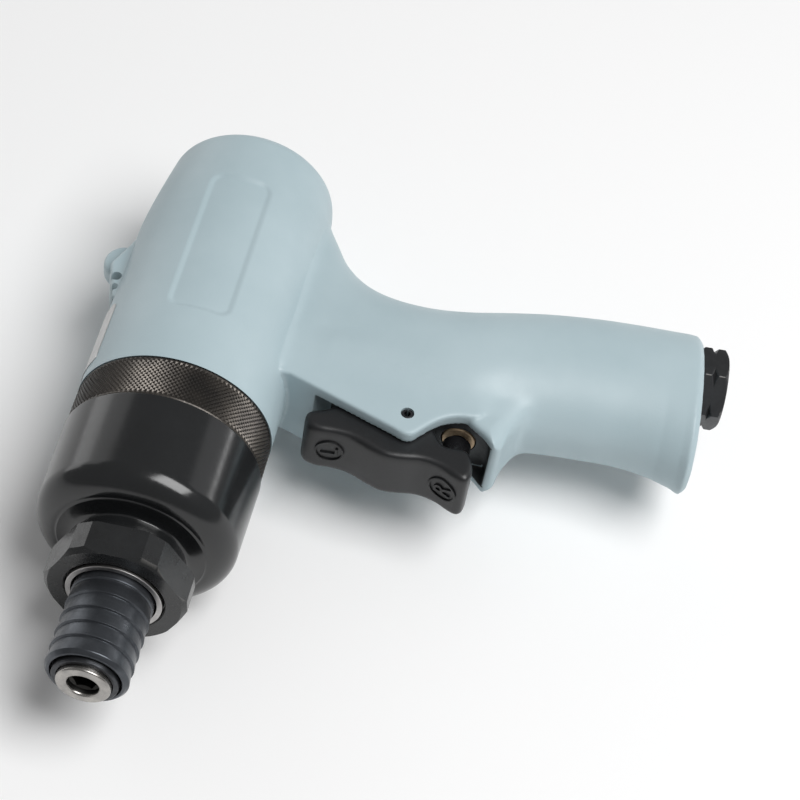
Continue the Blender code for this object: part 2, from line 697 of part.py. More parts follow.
def hammer(name, front, side):
    """A ring around the anvil that rocks on a pin through its ear and strikes with the tooth in its bore."""
    back = front - HAMMER_LENGTH
    y = side * HAMMER_PIN_CIRCLE
    tangent = math.degrees(math.acos((HAMMER_OUTER - HAMMER_EAR) / HAMMER_PIN_CIRCLE))
    turn = 0.0 if side > 0 else 180.0
    outline = arc((-y, 0.0), HAMMER_OUTER, turn + tangent, turn + 360.0 - tangent, HAMMER_POINTS)
    outline += arc((0.0, 0.0), HAMMER_EAR, turn - tangent, turn + tangent, HAMMER_EAR_POINTS)
    body = prism_on_x(name, outline, back, front, STEEL_DARK)
    body.location = (0.0, y, 0.0)
    middle = turn + HAMMER_TOOTH_TURN
    half = HAMMER_TOOTH_ANGLE / 2
    bore = arc((0.0, 0.0), HAMMER_INNER, middle + half, middle + 360.0 - half, HAMMER_POINTS)
    bore += arc((0.0, 0.0), HAMMER_INNER - HAMMER_TOOTH, middle - half, middle + half, 3)
    cut(body, prism_on_x(f"{name}_bore_tool", bore, back - CUT_OVERRUN, front + CUT_OVERRUN, None))
    hole = ((front + CUT_OVERRUN, y, 0), (back - CUT_OVERRUN, y, 0))
    cut(body, rod_between(f"{name}_hole_tool", *hole, HAMMER_PIN_RADIUS + GAP, steps=TINY_STEPS))
    return body


def hammer_pin(name, side):
    at = (0.0, side * HAMMER_PIN_CIRCLE, 0.0)
    outline = bar(CAGE_FRONT - GAP, CAGE_BACK + GAP, HAMMER_PIN_RADIUS)
    return turned(name, outline, STEEL_BRIGHT, at=at, steps=TINY_STEPS)


# ---- motor ----------------------------------------------------------------------------------------------


def rotor():
    """The slotted rotor on its shaft; the front end of the shaft drives the hammer cage."""
    half = VANE_THICKNESS / 2 + GAP
    depth = ROTOR_RADIUS - VANE_DEPTH - GAP
    outline = []
    for i in range(VANES):
        middle = 2 * math.pi * i / VANES
        lip = math.asin(half / ROTOR_RADIUS)
        across = Vector((-math.sin(middle), math.cos(middle)))
        along = Vector((math.cos(middle), math.sin(middle)))
        outline.append(tuple(along * depth - across * half))
        outline.append(tuple(along * depth + across * half))
        start = math.degrees(middle + lip)
        end = math.degrees(middle + 2 * math.pi / VANES - lip)
        outline += arc((0.0, 0.0), ROTOR_RADIUS, start, end, ROTOR_LAND_POINTS)
    body = prism_on_x("rotor", outline, ROTOR_BACK, ROTOR_FRONT, STEEL_DARK)
    shaft = bar(CAGE_BACK - GAP, REAR_PLATE_BACK + GAP, ROTOR_SHAFT)
    join(body, turned("rotor_shaft_tool", shaft, None, steps=SMALL_STEPS))
    return body


def vane(number):
    low = ROTOR_RADIUS - VANE_DEPTH
    high = ROTOR_RADIUS - VANE_SHYNESS
    half = VANE_THICKNESS / 2
    turn = Matrix.Rotation(2 * math.pi * (number - 1) / VANES, 2)
    corners = ((low, -half), (high, -half), (high, half), (low, half))
    outline = [tuple(turn @ Vector(p)) for p in corners]
    return prism_on_x(f"vane_{number}", outline, ROTOR_BACK + GAP, ROTOR_FRONT - GAP, PHENOLIC)


def cylinder_liner():
    """The cylinder around the rotor, bored off centre, with exhaust holes on top and inlet holes below."""
    liner = turned("cylinder_liner", bar(LINER_FRONT, LINER_BACK, LINER_RADIUS), CAST_GREY)
    bore = bar(LINER_FRONT + CUT_OVERRUN, LINER_BACK - CUT_OVERRUN, LINER_BORE)
    cut(liner, turned("liner_bore_tool", bore, None, offset=(LINER_OFFSET, 0.0)))
    middle = (LINER_FRONT + LINER_BACK) / 2
    for side in (-1, 1):
        for i in range(LINER_PORTS):
            x = middle + (i - (LINER_PORTS - 1) / 2) * LINER_PORT_PITCH
            ends = ((x, side * LINER_BORE / 2, 0), (x, side * (LINER_RADIUS + CUT_OVERRUN), 0))
            cut(liner, rod_between(f"liner_port_tool_{side}_{i}", *ends, LINER_PORT_RADIUS, steps=TINY_STEPS))
    return liner


def end_plate(name, face, step):
    """A disc with a bearing pocket in the face away from the rotor; step is +1 at the front and -1 behind."""
    pocket = face - step * (BEARING_WIDTH + 2 * GAP)
    inside = face - step * END_PLATE
    profile = [
        (face, BEARING_RADIUS + GAP),
        (face, LINER_RADIUS),
        (inside, LINER_RADIUS),
        (inside, ROTOR_SHAFT + RUNNING_GAP),
        (pocket, ROTOR_SHAFT + RUNNING_GAP),
        (pocket, BEARING_RADIUS + GAP),
    ]
    return turned(name, profile, CAST_GREY)


def bearing(name, face, step):
    bore = ROTOR_SHAFT + RUNNING_GAP / 2
    return turned(name, tube(face, face - step * BEARING_WIDTH, BEARING_RADIUS, bore), STEEL_BRIGHT)


# ---- housing --------------------------------------------------------------------------------------------


def barrel_outline(inset):
    """The outside of the barrel from its front edge to the rear pole, or the same line set in by a depth."""
    points = [(HOUSING_FRONT, BARREL_RADIUS - inset)]
    for i in range(TAPER_POINTS):
        t = i / TAPER_POINTS
        radius = BARREL_RADIUS - TAPER_DROP * t**TAPER_POWER - inset
        points.append((TAPER_FRONT - t * TAPER_LENGTH, radius))
    crown_radius = BARREL_RADIUS - TAPER_DROP - inset
    for i in range(CROWN_POINTS):
        angle = math.pi / 2 * i / CROWN_POINTS
        x = CROWN_FRONT - CROWN_LENGTH * math.sin(angle)
        points.append((x, crown_radius * math.sqrt(math.cos(angle))))
    points.append((-TOTAL_LENGTH, 0.0))
    return points


def handle_tool():
    """The handle, lofted through flattened oval sections from inside the barrel to its flared base."""
    bm = bmesh.new()
    loops = []
    for drop, front, back, half_width in handle_sections():
        centre = HOUSING_FRONT - (front + back) / 2
        depth = (back - front) / 2
        lean = LEAN_SLOPE * max(0.0, (drop - HANDLE_LEAN_FROM) / (HANDLE_REACH - HANDLE_LEAN_FROM))
        ring = []
        for i in range(HANDLE_POINTS):
            angle = 2 * math.pi * i / HANDLE_POINTS
            x = math.copysign(abs(math.cos(angle)) ** (2 / HANDLE_SQUARENESS), math.cos(angle))
            z = math.copysign(abs(math.sin(angle)) ** (2 / HANDLE_SQUARENESS), math.sin(angle))
            ring.append(bm.verts.new((centre + depth * x, drop + lean * depth * x, half_width * z)))
        loops.append(ring)
    for lower, upper in zip(loops, loops[1:]):
        for i in range(HANDLE_POINTS):
            j = (i + 1) % HANDLE_POINTS
            bm.faces.new((lower[i], lower[j], upper[j], upper[i]))
    bm.faces.new(loops[0])
    bm.faces.new(loops[-1])
    return add_piece("handle_tool", bm, None)


def handle_sections():
    """(distance below the axis, front and back distance behind the housing's front edge, half width)."""
    neck = [
        (12.0, 15.6, 74.0, 10.0),
        (22.0, 15.3, 76.4, 11.4),
        (26.5, 15.4, 71.0, 11.9),
        (31.5, 15.6, 62.8, 12.2),
        (38.0, 15.8, 57.2, 12.6),
        (46.0, 16.0, 54.4, 13.2),
        (56.0, 16.2, 53.7, 14.1),
        (66.0, 16.4, 55.2, 14.8),
        (76.0, 17.6, 58.0, 15.3),
    ]
    grip = [
        (42.0, 20.8, 61.0, 15.5),
        (29.0, 22.6, 63.4, 15.5),
        (18.0, 23.4, 64.7, 15.5),
        (9.0, 22.4, 65.5, 15.6),
        (3.5, 20.6, 66.0, 15.8),
        (1.4, 19.2, 66.0, 15.8),
        (0.0, 20.6, 64.6, 14.6),
    ]
    for drop, front, back, half_width in neck:
        yield drop * MM, front * MM, back * MM, half_width * MM
    for rise, front, back, half_width in grip:
        yield HANDLE_REACH - rise * MM, front * MM, back * MM, half_width * MM


def about_pin(points):
    """Points given in millimetres forward of and below the trigger pin."""
    return [(TRIGGER_PIN_X + x * MM, TRIGGER_PIN_DROP + y * MM) for x, y in points]


def cheek_outline():
    """The side view of the two cheeks: a sloping front, the tip by the pin, and the scallop below it."""
    front = HOUSING_FRONT - NECK_FRONT_BACK
    edge = [
        (5.2, -3.2),
        (6.3, -0.2),
        (6.4, 1.4),
        (5.8, 2.8),
        (3.6, 4.6),
        (0.9, 6.8),
        (-1.6, 9.6),
        (-3.2, 12.9),
        (-4.6, 18.0),
        (-18.0, 22.0),
    ]
    points = [(front - NECK_DEPTH, NECK_TOP), (front, NECK_TOP), (front, NECK_BREAK)]
    return points + about_pin(edge)


def guard_outline():
    """The side view of the thin guard that stands in front of the rocker's lower end."""
    edge = [
        (-18.0, 12.0),
        (-6.0, 13.0),
        (-2.7, 16.5),
        (-0.4, 20.0),
        (1.9, 22.5),
        (2.2, 24.2),
        (1.0, 25.4),
        (-2.2, 26.0),
        (-5.5, 27.2),
        (-8.5, 28.6),
        (-18.0, 31.0),
    ]
    return about_pin(edge)


def hood_outline():
    """The side view of the exhaust hood: a long slope up from the front and a short one down behind."""
    front = HOUSING_FRONT - HOOD_BACK
    sunk = -(BARREL_RADIUS - HOOD_SINK)
    return [
        (front, sunk),
        (front, -(BARREL_RADIUS - HOOD_WALL)),
        (front - HOOD_RISE, -HOOD_HEIGHT),
        (front - HOOD_RISE - HOOD_CREST, -HOOD_HEIGHT + HOOD_WALL / 4),
        (front - HOOD_LENGTH, -(BARREL_RADIUS - HOOD_WALL)),
        (front - HOOD_LENGTH, sunk),
    ]


def housing_solids(housing):
    """Joins the handle, cheeks, hood and hanger lug to the barrel."""
    cheeks = extruded_mesh(cheek_outline(), -NECK_HALF_WIDTH, NECK_HALF_WIDTH)
    bevel_rims(cheeks, NECK_EDGE)
    guard = extruded_mesh(guard_outline(), -GUARD_HALF_WIDTH, GUARD_HALF_WIDTH)
    bevel_rims(guard, NECK_EDGE)
    hood = extruded_mesh(hood_outline(), -HOOD_HALF_WIDTH, HOOD_HALF_WIDTH)
    eye = polygon(LUG_RADIUS, SMALL_STEPS, centre=LUG_CENTRE)
    lug = extruded_mesh(eye, -LUG_HALF_WIDTH, LUG_HALF_WIDTH)
    bevel_rims(lug, LUG_HALF_WIDTH / 3)
    join(housing, handle_tool())
    join(housing, add_piece("cheeks_tool", cheeks, None))
    join(housing, add_piece("guard_tool", guard, None))
    join(housing, add_piece("hood_tool", hood, None))
    join(housing, add_piece("lug_tool", lug, None))


def side_recess_tool(side):
    """A rounded rectangle that cuts to an even depth below the barrel's surface on one side."""
    x0 = HOUSING_FRONT - PANEL_BACK
    half = PANEL_WIDTH / 2
    corners = [(x0, -half), (x0, half), (x0 - PANEL_LENGTH, half), (x0 - PANEL_LENGTH, -half)]
    outline = rounded(corners, PANEL_CORNER)
    low, high = sorted((side * BARREL_RADIUS / 2, side * (BARREL_RADIUS + CUT_OVERRUN)))
    panel = add_piece(f"panel_tool_{side}", extruded_mesh(outline, low, high), None)
    core = [(HOUSING_FRONT, 0.0), *barrel_outline(PANEL_DEPTH)]
    cut(panel, turned(f"panel_core_tool_{side}", core, None, steps=LARGE_STEPS))
    return panel


def exhaust_tools():
    """The silencer chamber over the motor bore, and the ports through the hood's sides."""
    front = HOUSING_FRONT - HOOD_BACK - HOOD_WALL
    back = front - FELT_LENGTH - 2 * GAP
    top = -(BARREL_RADIUS - GAP)
    bottom = -(MOTOR_BORE - HOOD_SINK)
    half = HOOD_HALF_WIDTH - HOOD_WALL
    chamber = [(front, bottom), (front, top), (back, top), (back, bottom)]
    yield add_piece("exhaust_chamber_tool", extruded_mesh(chamber, -half, half), None)
    reach = HOOD_HALF_WIDTH + CUT_OVERRUN
    for i in range(EXHAUST_PORTS):
        x = HOUSING_FRONT - HOOD_BACK - EXHAUST_PORT_BACK - i * EXHAUST_PORT_PITCH
        radius = EXHAUST_PORT_RADIUS + i * EXHAUST_PORT_GROWTH
        y = top + EXHAUST_PORT_RADIUS - radius
        yield rod_between(f"exhaust_port_tool_{i}", (x, y, -reach), (x, y, reach), radius, steps=TINY_STEPS)


def valve_drops():
    """How far the two valves lie below the spindle axis: left turn above the pin, right turn below it."""
    return {"left": TRIGGER_PIN_DROP - VALVE_SPACING, "right": TRIGGER_PIN_DROP + VALVE_SPACING}


def air_tools():
    """The inlet bore, the passage up the handle, the two valve bores and the port to the motor."""
    seat = along_inlet(-INLET_SPIGOT_LENGTH - GAP)
    yield rod_between("inlet_bore_tool", along_inlet(CUT_OVERRUN * 2), seat, INLET_SPIGOT_RADIUS + GAP)
    passage_top = (HOUSING_FRONT - PASSAGE_TOP_BACK, PASSAGE_TOP_DROP, 0.0)
    yield rod_between("passage_tool", seat, passage_top, PASSAGE_RADIUS)
    floor = SLOT_FLOOR + CUT_OVERRUN
    end = SLOT_FLOOR - VALVE_BORE_DEPTH
    for name, drop in valve_drops().items():
        yield rod_between(f"valve_bore_tool_{name}", (floor, drop, 0), (end, drop, 0), VALVE_BORE)
        link = ((end + CUT_OVERRUN, drop, 0), (end - PASSAGE_RADIUS * 2, drop, 0))
        yield rod_between(f"valve_link_tool_{name}", *link, VALVE_SEAT_HOLE, steps=TINY_STEPS)
    port_x = SLOT_FLOOR - VALVE_BUSHING_LENGTH - PORT_RADIUS
    port = ((port_x, valve_drops()["left"], 0), (port_x, MOTOR_BORE / 2, 0))
    yield rod_between("motor_port_tool", *port, PORT_RADIUS, steps=TINY_STEPS)


def slot_tool():
    front = HOUSING_FRONT + CUT_OVERRUN
    half = TRIGGER_HALF_WIDTH + RUNNING_GAP
    outline = [
        (SLOT_FLOOR, SLOT_TOP),
        (front, SLOT_TOP),
        (front, SLOT_BOTTOM),
        (SLOT_FLOOR, SLOT_BOTTOM),
    ]
    return add_piece("trigger_slot_tool", extruded_mesh(outline, -half, half), None)


def motor_housing():
    """The cast barrel and handle in one piece, bored from the front for the motor."""
    spigot_front = HOUSING_FRONT + SPIGOT_LENGTH
    outline = [
        (spigot_front, 0.0),
        (spigot_front, SPIGOT_RADIUS),
        (HOUSING_FRONT, SPIGOT_RADIUS),
        *barrel_outline(0.0),
    ]
    housing = turned("motor_housing", outline, PAINT_GREY, steps=LARGE_STEPS)
    housing_solids(housing)
    bore = [
        (spigot_front + CUT_OVERRUN, 0.0),
        (spigot_front + CUT_OVERRUN, MOTOR_BORE),
        (BORE_BACK, MOTOR_BORE),
        (BORE_BACK, BEARING_RADIUS + GAP),
        (BORE_BACK - BORE_RELIEF, BEARING_RADIUS + GAP),
        (BORE_BACK - BORE_RELIEF, 0.0),
    ]
    cut(housing, turned("motor_bore_tool", bore, None, steps=LARGE_STEPS))
    cut(housing, slot_tool())
    for side in (-1, 1):
        cut(housing, side_recess_tool(side))
    for tool in (*air_tools(), *exhaust_tools()):
        cut(housing, tool)
    pin = across((TRIGGER_PIN_X, TRIGGER_PIN_DROP), NECK_HALF_WIDTH + CUT_OVERRUN)
    cut(housing, rod_between("pin_hole_tool", *pin, PIN_RADIUS + GAP, steps=TINY_STEPS))
    eye = across(LUG_CENTRE, LUG_HALF_WIDTH + CUT_OVERRUN)
    cut(housing, rod_between("lug_eye_tool", *eye, LUG_HOLE, steps=TINY_STEPS))
    return housing


def exhaust_felt():
    """The silencer pad that fills the chamber behind the exhaust ports."""
    front = HOUSING_FRONT - HOOD_BACK - HOOD_WALL - GAP
    top = -(BARREL_RADIUS - 2 * GAP)
    bottom = -(MOTOR_BORE + GAP)
    half = HOOD_HALF_WIDTH - HOOD_WALL - GAP
    back = front - FELT_LENGTH
    outline = [(front, bottom), (front, top), (back, top), (back, bottom)]
    return add_piece("exhaust_felt", extruded_mesh(outline, -half, half), FELT)


def name_plate():
    """A bare thin plate bent over the top of the barrel."""
    low = BARREL_RADIUS + GAP
    high = low + PLATE_THICKNESS
    front = HOUSING_FRONT - PLATE_BACK
    middle = 180.0
    first = middle - PLATE_HALF_ANGLE
    last = middle + PLATE_HALF_ANGLE
    outer = arc((0.0, 0.0), high, first, last, PLATE_POINTS)
    inner = arc((0.0, 0.0), low, last, first, PLATE_POINTS)
    return prism_on_x("name_plate", outer + inner, front - PLATE_LENGTH, front, PLATE_SILVER)


# ---- trigger, valves and air inlet ----------------------------------------------------------------------


def trigger():
    """The two-way rocker: a pad at each end for the finger, a boss on the pin and a pad behind each stem."""
    front = [
        (3.2, -24.6),
        (5.9, -25.0),
        (8.0, -23.6),
        (8.7, -20.3),
        (8.3, -16.5),
        (8.6, -12.0),
        (10.6, -6.5),
        (11.7, -2.5),
        (11.2, 2.0),
        (10.3, 6.5),
        (11.1, 11.5),
        (13.0, 15.6),
        (13.5, 17.8),
        (12.4, 19.2),
        (8.6, 19.4),
    ]
    rear = [
        (RIGHT_PAD / MM, 17.0),
        (RIGHT_PAD / MM, 10.8),
        (-1.2, 7.0),
        (-3.1, 3.2),
        (-3.4, 0.0),
        (-3.0, -4.0),
        (LEFT_PAD / MM, -10.8),
        (LEFT_PAD / MM, -17.0),
        (1.4, -21.0),
    ]
    outline = [(x * MM, y * MM) for x, y in front + rear]
    bm = extruded_mesh(outline, -TRIGGER_HALF_WIDTH, TRIGGER_HALF_WIDTH)
    bevel_rims(bm, TRIGGER_EDGE)
    rocker = add_piece("trigger", bm, PLASTIC_BLACK, at=(TRIGGER_PIN_X, TRIGGER_PIN_DROP, 0.0))
    ends = across((TRIGGER_PIN_X, TRIGGER_PIN_DROP), TRIGGER_HALF_WIDTH + CUT_OVERRUN)
    cut(rocker, rod_between("trigger_hole_tool", *ends, PIN_RADIUS + RUNNING_GAP, steps=TINY_STEPS))
    return rocker


def trigger_pin():
    """The hollow roll pin across the two cheeks."""
    half = NECK_HALF_WIDTH - GAP
    outline = tube(-half, half, PIN_RADIUS, PIN_BORE)
    pin = turned("trigger_pin", outline, STEEL_BLUED, steps=TINY_STEPS)
    pin.location = (TRIGGER_PIN_X, TRIGGER_PIN_DROP, 0.0)
    pin.rotation_euler = (0.0, -math.pi / 2, 0.0)
    return pin


def valve_travel():
    """How far a stem moves when the rocker swings to its stop."""
    return VALVE_SPACING * math.sin(math.radians(TRIGGER_SWING))


def valve_set(name, drop, pad):
    """Brass bushing, its seal, the stem that the rocker presses, and the spring behind the stem."""
    at = (SLOT_FLOOR, drop, 0.0)
    face = GAP
    back = face - VALVE_BUSHING_LENGTH
    groove = back + VALVE_BUSHING_LENGTH / 2
    outer = VALVE_BORE - GAP
    seat = outer - SEAL_DEPTH
    rod_bore = VALVE_ROD_RADIUS + RUNNING_GAP
    bushing = [
        (face, rod_bore),
        (face, outer),
        (groove + SEAL_WIDTH, outer),
        (groove + SEAL_WIDTH, seat),
        (groove - SEAL_WIDTH, seat),
        (groove - SEAL_WIDTH, outer),
        (back, outer),
        (back, rod_bore),
    ]
    turned(f"valve_bushing_{name}", bushing, BRASS, at=at, steps=SMALL_STEPS)
    ring = polygon(SEAL_DEPTH / 2 - GAP / 2, 6, centre=(groove, (seat + outer) / 2 + GAP / 2))
    turned(f"valve_seal_{name}", ring, RUBBER_BLACK, at=at, steps=TINY_STEPS)
    tip = TRIGGER_PIN_X + pad - GAP - SLOT_FLOOR
    button_back = face + valve_travel() + GAP
    plunger = back - valve_travel() - GAP
    plunger_back = plunger - VALVE_PLUNGER_LENGTH
    stem = [
        (tip, 0.0),
        *ellipse((tip - BUTTON_DOME, 0.0), BUTTON_DOME, VALVE_BUTTON_RADIUS, *DOME_ANGLES, 4),
        (button_back, VALVE_BUTTON_RADIUS),
        (button_back, VALVE_ROD_RADIUS),
        (plunger, VALVE_ROD_RADIUS),
        (plunger, VALVE_PLUNGER_RADIUS),
        (plunger_back, VALVE_PLUNGER_RADIUS),
        (plunger_back, 0.0),
    ]
    turned(f"valve_stem_{name}", stem, PLASTIC_BLACK, at=at, steps=SMALL_STEPS)
    ends = (plunger_back - GAP - SPRING_WIRE, GAP + SPRING_WIRE - VALVE_BORE_DEPTH)
    mean = (VALVE_SEAT_HOLE + VALVE_BORE) / 2
    spring = (*ends, mean, SPRING_WIRE, VALVE_SPRING_TURNS, STEEL_SPRING)
    coil(f"valve_spring_{name}", *spring, at=at)


def along_inlet(distance):
    """A point on the inlet's axis, measured out from the handle's base."""
    return Vector((INLET_X, INLET_BASE, 0.0)) + INLET_OUT * distance


def on_inlet(obj):
    """Turns a piece made along X so that it lies along the inlet, out of the handle's base."""
    obj.location = along_inlet(0.0)
    obj.rotation_euler = (0.0, 0.0, math.radians(90.0 + HANDLE_LEAN))
    return obj


def air_inlet_bushing():
    """The threaded inlet: a hexagon with a groove across its corners, and a spigot up into the handle."""
    corner = INLET_ACROSS_FLATS / math.sqrt(3)
    flat = INLET_ACROSS_FLATS / 2
    outline = polygon(corner, 6, turn=math.radians(INLET_TURN))
    hexagon = on_inlet(prism_on_x("air_inlet_bushing", outline, GAP, INLET_STANDOUT, OXIDE_BLACK))
    spigot = bar(-INLET_SPIGOT_LENGTH, 2 * GAP, INLET_SPIGOT_RADIUS)
    join(hexagon, on_inlet(turned("inlet_spigot_tool", spigot, None, steps=SMALL_STEPS)))
    rim = [
        (INLET_STANDOUT + CUT_OVERRUN, flat - CUT_OVERRUN),
        (INLET_STANDOUT + CUT_OVERRUN, corner + CUT_OVERRUN),
        (INLET_STANDOUT - INLET_CHAMFER, corner + CUT_OVERRUN),
        (INLET_STANDOUT - INLET_CHAMFER, corner),
        (INLET_STANDOUT, flat),
    ]
    cut(hexagon, on_inlet(turned("inlet_rim_tool", rim, None)))
    middle = INLET_STANDOUT / 2
    notch = [
        (middle, flat + GAP),
        (middle + INLET_CHAMFER, corner + CUT_OVERRUN),
        (middle - INLET_CHAMFER, corner + CUT_OVERRUN),
    ]
    cut(hexagon, on_inlet(turned("inlet_notch_tool", notch, None)))
    bore = bar(-INLET_SPIGOT_LENGTH - CUT_OVERRUN, INLET_STANDOUT + CUT_OVERRUN, INLET_BORE)
    cut(hexagon, on_inlet(turned("inlet_thread_tool", bore, None, steps=SMALL_STEPS)))
    return hexagon


def inlet_screen():
    """The perforated strainer disc at the inner end of the inlet bore."""
    outline = bar(-INLET_SPIGOT_LENGTH, SCREEN_THICKNESS - INLET_SPIGOT_LENGTH, INLET_BORE - GAP)
    disc = on_inlet(turned("inlet_screen", outline, BRASS, steps=SMALL_STEPS))
    inner = -INLET_SPIGOT_LENGTH - CUT_OVERRUN
    outer = SCREEN_THICKNESS - INLET_SPIGOT_LENGTH + CUT_OVERRUN
    for i, (y, z) in enumerate(polygon(SCREEN_CIRCLE, SCREEN_HOLES)):
        hole = rod_between(f"screen_hole_tool_{i}", (inner, y, z), (outer, y, z), SCREEN_HOLE_RADIUS, steps=8)
        cut(disc, on_inlet(hole))
    return disc


# ---- the tool, piece by piece ---------------------------------------------------------------------------

clear_scene()
PAINT_GREY = material("paint_grey", (0.46, 0.56, 0.59), 0.0, 0.4)
ENAMEL_BLACK = material("enamel_black", (0.012, 0.013, 0.014), 0.1, 0.12)
STEEL_BLUED = material("steel_blued", (0.04, 0.045, 0.055), 0.9, 0.35)
STEEL_BRIGHT = material("steel_bright", (0.6, 0.58, 0.55), 1.0, 0.25)
STEEL_DARK = material("steel_dark", (0.2, 0.2, 0.2), 1.0, 0.4)
STEEL_OXIDE = material("steel_oxide", (0.07, 0.055, 0.045), 0.8, 0.45)
STEEL_SPRING = material("steel_spring", (0.45, 0.45, 0.46), 1.0, 0.3)
OXIDE_BLACK = material("oxide_black", (0.03, 0.03, 0.032), 0.8, 0.5)
CAST_GREY = material("cast_grey", (0.35, 0.35, 0.35), 0.9, 0.5)
BRASS = material("brass", (0.75, 0.52, 0.3), 1.0, 0.35)
PHENOLIC = material("phenolic", (0.35, 0.18, 0.08), 0.0, 0.6)
PLASTIC_BLACK = material("plastic_black", (0.03, 0.03, 0.033), 0.0, 0.4)
RUBBER_BLACK = material("rubber_black", (0.02, 0.02, 0.02), 0.0, 0.8)
FELT = material("felt", (0.5, 0.48, 0.42), 0.0, 0.95)
PLATE_SILVER = material("plate_silver", (0.55, 0.55, 0.55), 0.4, 0.4)

TOOL_AXIS = root_empty()
bpy.context.view_layer.update()

anvil_spindle()
bit_lock_ball()
release_sleeve()
retaining_ring()
sleeve_spring()
nose_nut()
spindle_bush()
hammer_case()
coupling_ring()
hammer_cage()
hammer("hammer_front", HAMMER_FRONT, 1)
hammer("hammer_rear", HAMMER_MIDDLE, -1)
hammer_pin("hammer_pin_front", 1)
hammer_pin("hammer_pin_rear", -1)
rotor()
for vane_number in range(1, VANES + 1):
    vane(vane_number)
cylinder_liner()
end_plate("front_end_plate", MOTOR_FRONT, 1)
end_plate("rear_end_plate", REAR_PLATE_BACK, -1)
bearing("front_bearing", MOTOR_FRONT - GAP, 1)
bearing("rear_bearing", REAR_PLATE_BACK + GAP, -1)
motor_housing()
exhaust_felt()
name_plate()
trigger()
trigger_pin()
valve_set("left", valve_drops()["left"], LEFT_PAD)
valve_set("right", valve_drops()["right"], RIGHT_PAD)
air_inlet_bushing()
inlet_screen()
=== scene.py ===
import math

import bmesh
import bpy
import numpy as np
from mathutils import Matrix, Vector


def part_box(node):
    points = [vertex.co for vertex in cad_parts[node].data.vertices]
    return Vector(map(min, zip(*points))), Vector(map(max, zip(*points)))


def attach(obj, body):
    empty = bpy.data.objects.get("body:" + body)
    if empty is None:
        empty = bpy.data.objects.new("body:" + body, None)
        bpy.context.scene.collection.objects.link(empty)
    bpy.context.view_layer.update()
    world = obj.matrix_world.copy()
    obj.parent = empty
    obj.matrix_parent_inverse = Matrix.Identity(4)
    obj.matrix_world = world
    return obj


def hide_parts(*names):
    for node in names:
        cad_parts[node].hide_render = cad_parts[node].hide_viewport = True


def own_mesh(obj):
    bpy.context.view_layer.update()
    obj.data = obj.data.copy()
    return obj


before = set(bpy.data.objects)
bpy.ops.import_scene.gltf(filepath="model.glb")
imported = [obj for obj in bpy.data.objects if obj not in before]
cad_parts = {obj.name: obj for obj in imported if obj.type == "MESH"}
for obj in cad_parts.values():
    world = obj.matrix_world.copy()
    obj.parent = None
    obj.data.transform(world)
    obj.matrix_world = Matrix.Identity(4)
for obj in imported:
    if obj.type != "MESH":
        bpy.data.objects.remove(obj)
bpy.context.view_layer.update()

# ---- Spindle -----------------------------------------------------------------
# The ground steel spindle that takes the bit: a hexagon socket with a coned mouth, a groove for the
# snap ring, a journal for the bush and two jaws for the hammers. Its sizes, like all that follow,
# are in millimetres from the middle of its nose face, on the axis that every turned piece shares.

MM = 0.001
spindle_low, spindle_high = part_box("anvil_spindle")
NOSE = Vector((spindle_high.x, (spindle_low.y + spindle_high.y) / 2,
               (spindle_low.z + spindle_high.z) / 2))
TO_TOOL = Matrix.Translation(NOSE) @ Matrix.Scale(MM, 4)


def settle(name, bm, sharp=30.0):
    """Sets a bmesh in millimetres in its place as an object, smooth but crisp at its corners."""
    bmesh.ops.remove_doubles(bm, verts=bm.verts, dist=1e-5)
    bmesh.ops.delete(bm, geom=[e for e in bm.edges if not e.link_faces], context="EDGES")
    bmesh.ops.recalc_face_normals(bm, faces=bm.faces)
    bm.transform(TO_TOOL)
    mesh = bpy.data.meshes.new(name)
    bm.to_mesh(mesh)
    bm.free()
    mesh.shade_smooth()
    mesh.set_sharp_from_angle(angle=math.radians(sharp))
    obj = bpy.data.objects.new(name, mesh)
    bpy.context.scene.collection.objects.link(obj)
    return obj


def make_good(obj, sharp=None):
    """Makes the modifiers on a piece part of its mesh."""
    bpy.context.view_layer.update()
    graph = bpy.context.evaluated_depsgraph_get()
    made = bpy.data.meshes.new_from_object(
        obj.evaluated_get(graph), preserve_all_data_layers=True, depsgraph=graph)
    old = obj.data
    obj.modifiers.clear()
    obj.data = made
    made.name = obj.name
    bpy.data.meshes.remove(old)
    if sharp is not None:
        made.shade_smooth()
        made.set_sharp_from_angle(angle=math.radians(sharp))


def even_shading(obj):
    """Shades a round side evenly up to the flat beside it."""
    obj.modifiers.new("even shading", "WEIGHTED_NORMAL").keep_sharp = True
    make_good(obj)


def machine(obj, way, *tools, sharp=30.0):
    """Cuts tools out of a piece (DIFFERENCE) or joins them to it (UNION), and puts them away."""
    for tool in tools:
        step = obj.modifiers.new("machining", "BOOLEAN")
        step.operation = way
        step.solver = "MANIFOLD"
        step.object = tool
    make_good(obj, sharp)
    for tool in tools:
        bpy.data.objects.remove(tool)


def eased(corners):
    """An outline with rounded corners: a third number is how far off its corner a round starts."""
    outline = []
    for i, (x, radius, *ease) in enumerate(corners):
        if not ease:
            outline.append((x, radius))
            continue
        here = Vector((x, radius))
        before = Vector(corners[i - 1][:2]) - here
        after = Vector(corners[(i + 1) % len(corners)][:2]) - here
        start = here + before.normalized() * min(ease[0], before.length * 0.48)
        end = here + after.normalized() * min(ease[0], after.length * 0.48)
        for t in (0.0, 0.25, 0.5, 0.75, 1.0):
            outline.append(tuple((1 - t) ** 2 * start + 2 * t * (1 - t) * here + t**2 * end))
    return outline


def quads(bm, loops):
    """Four-sided faces between each closed loop of points and the next."""
    for one, two in zip(loops, loops[1:]):
        for i in range(len(one)):
            j = (i + 1) % len(one)
            bm.faces.new((one[i], one[j], two[j], two[i]))


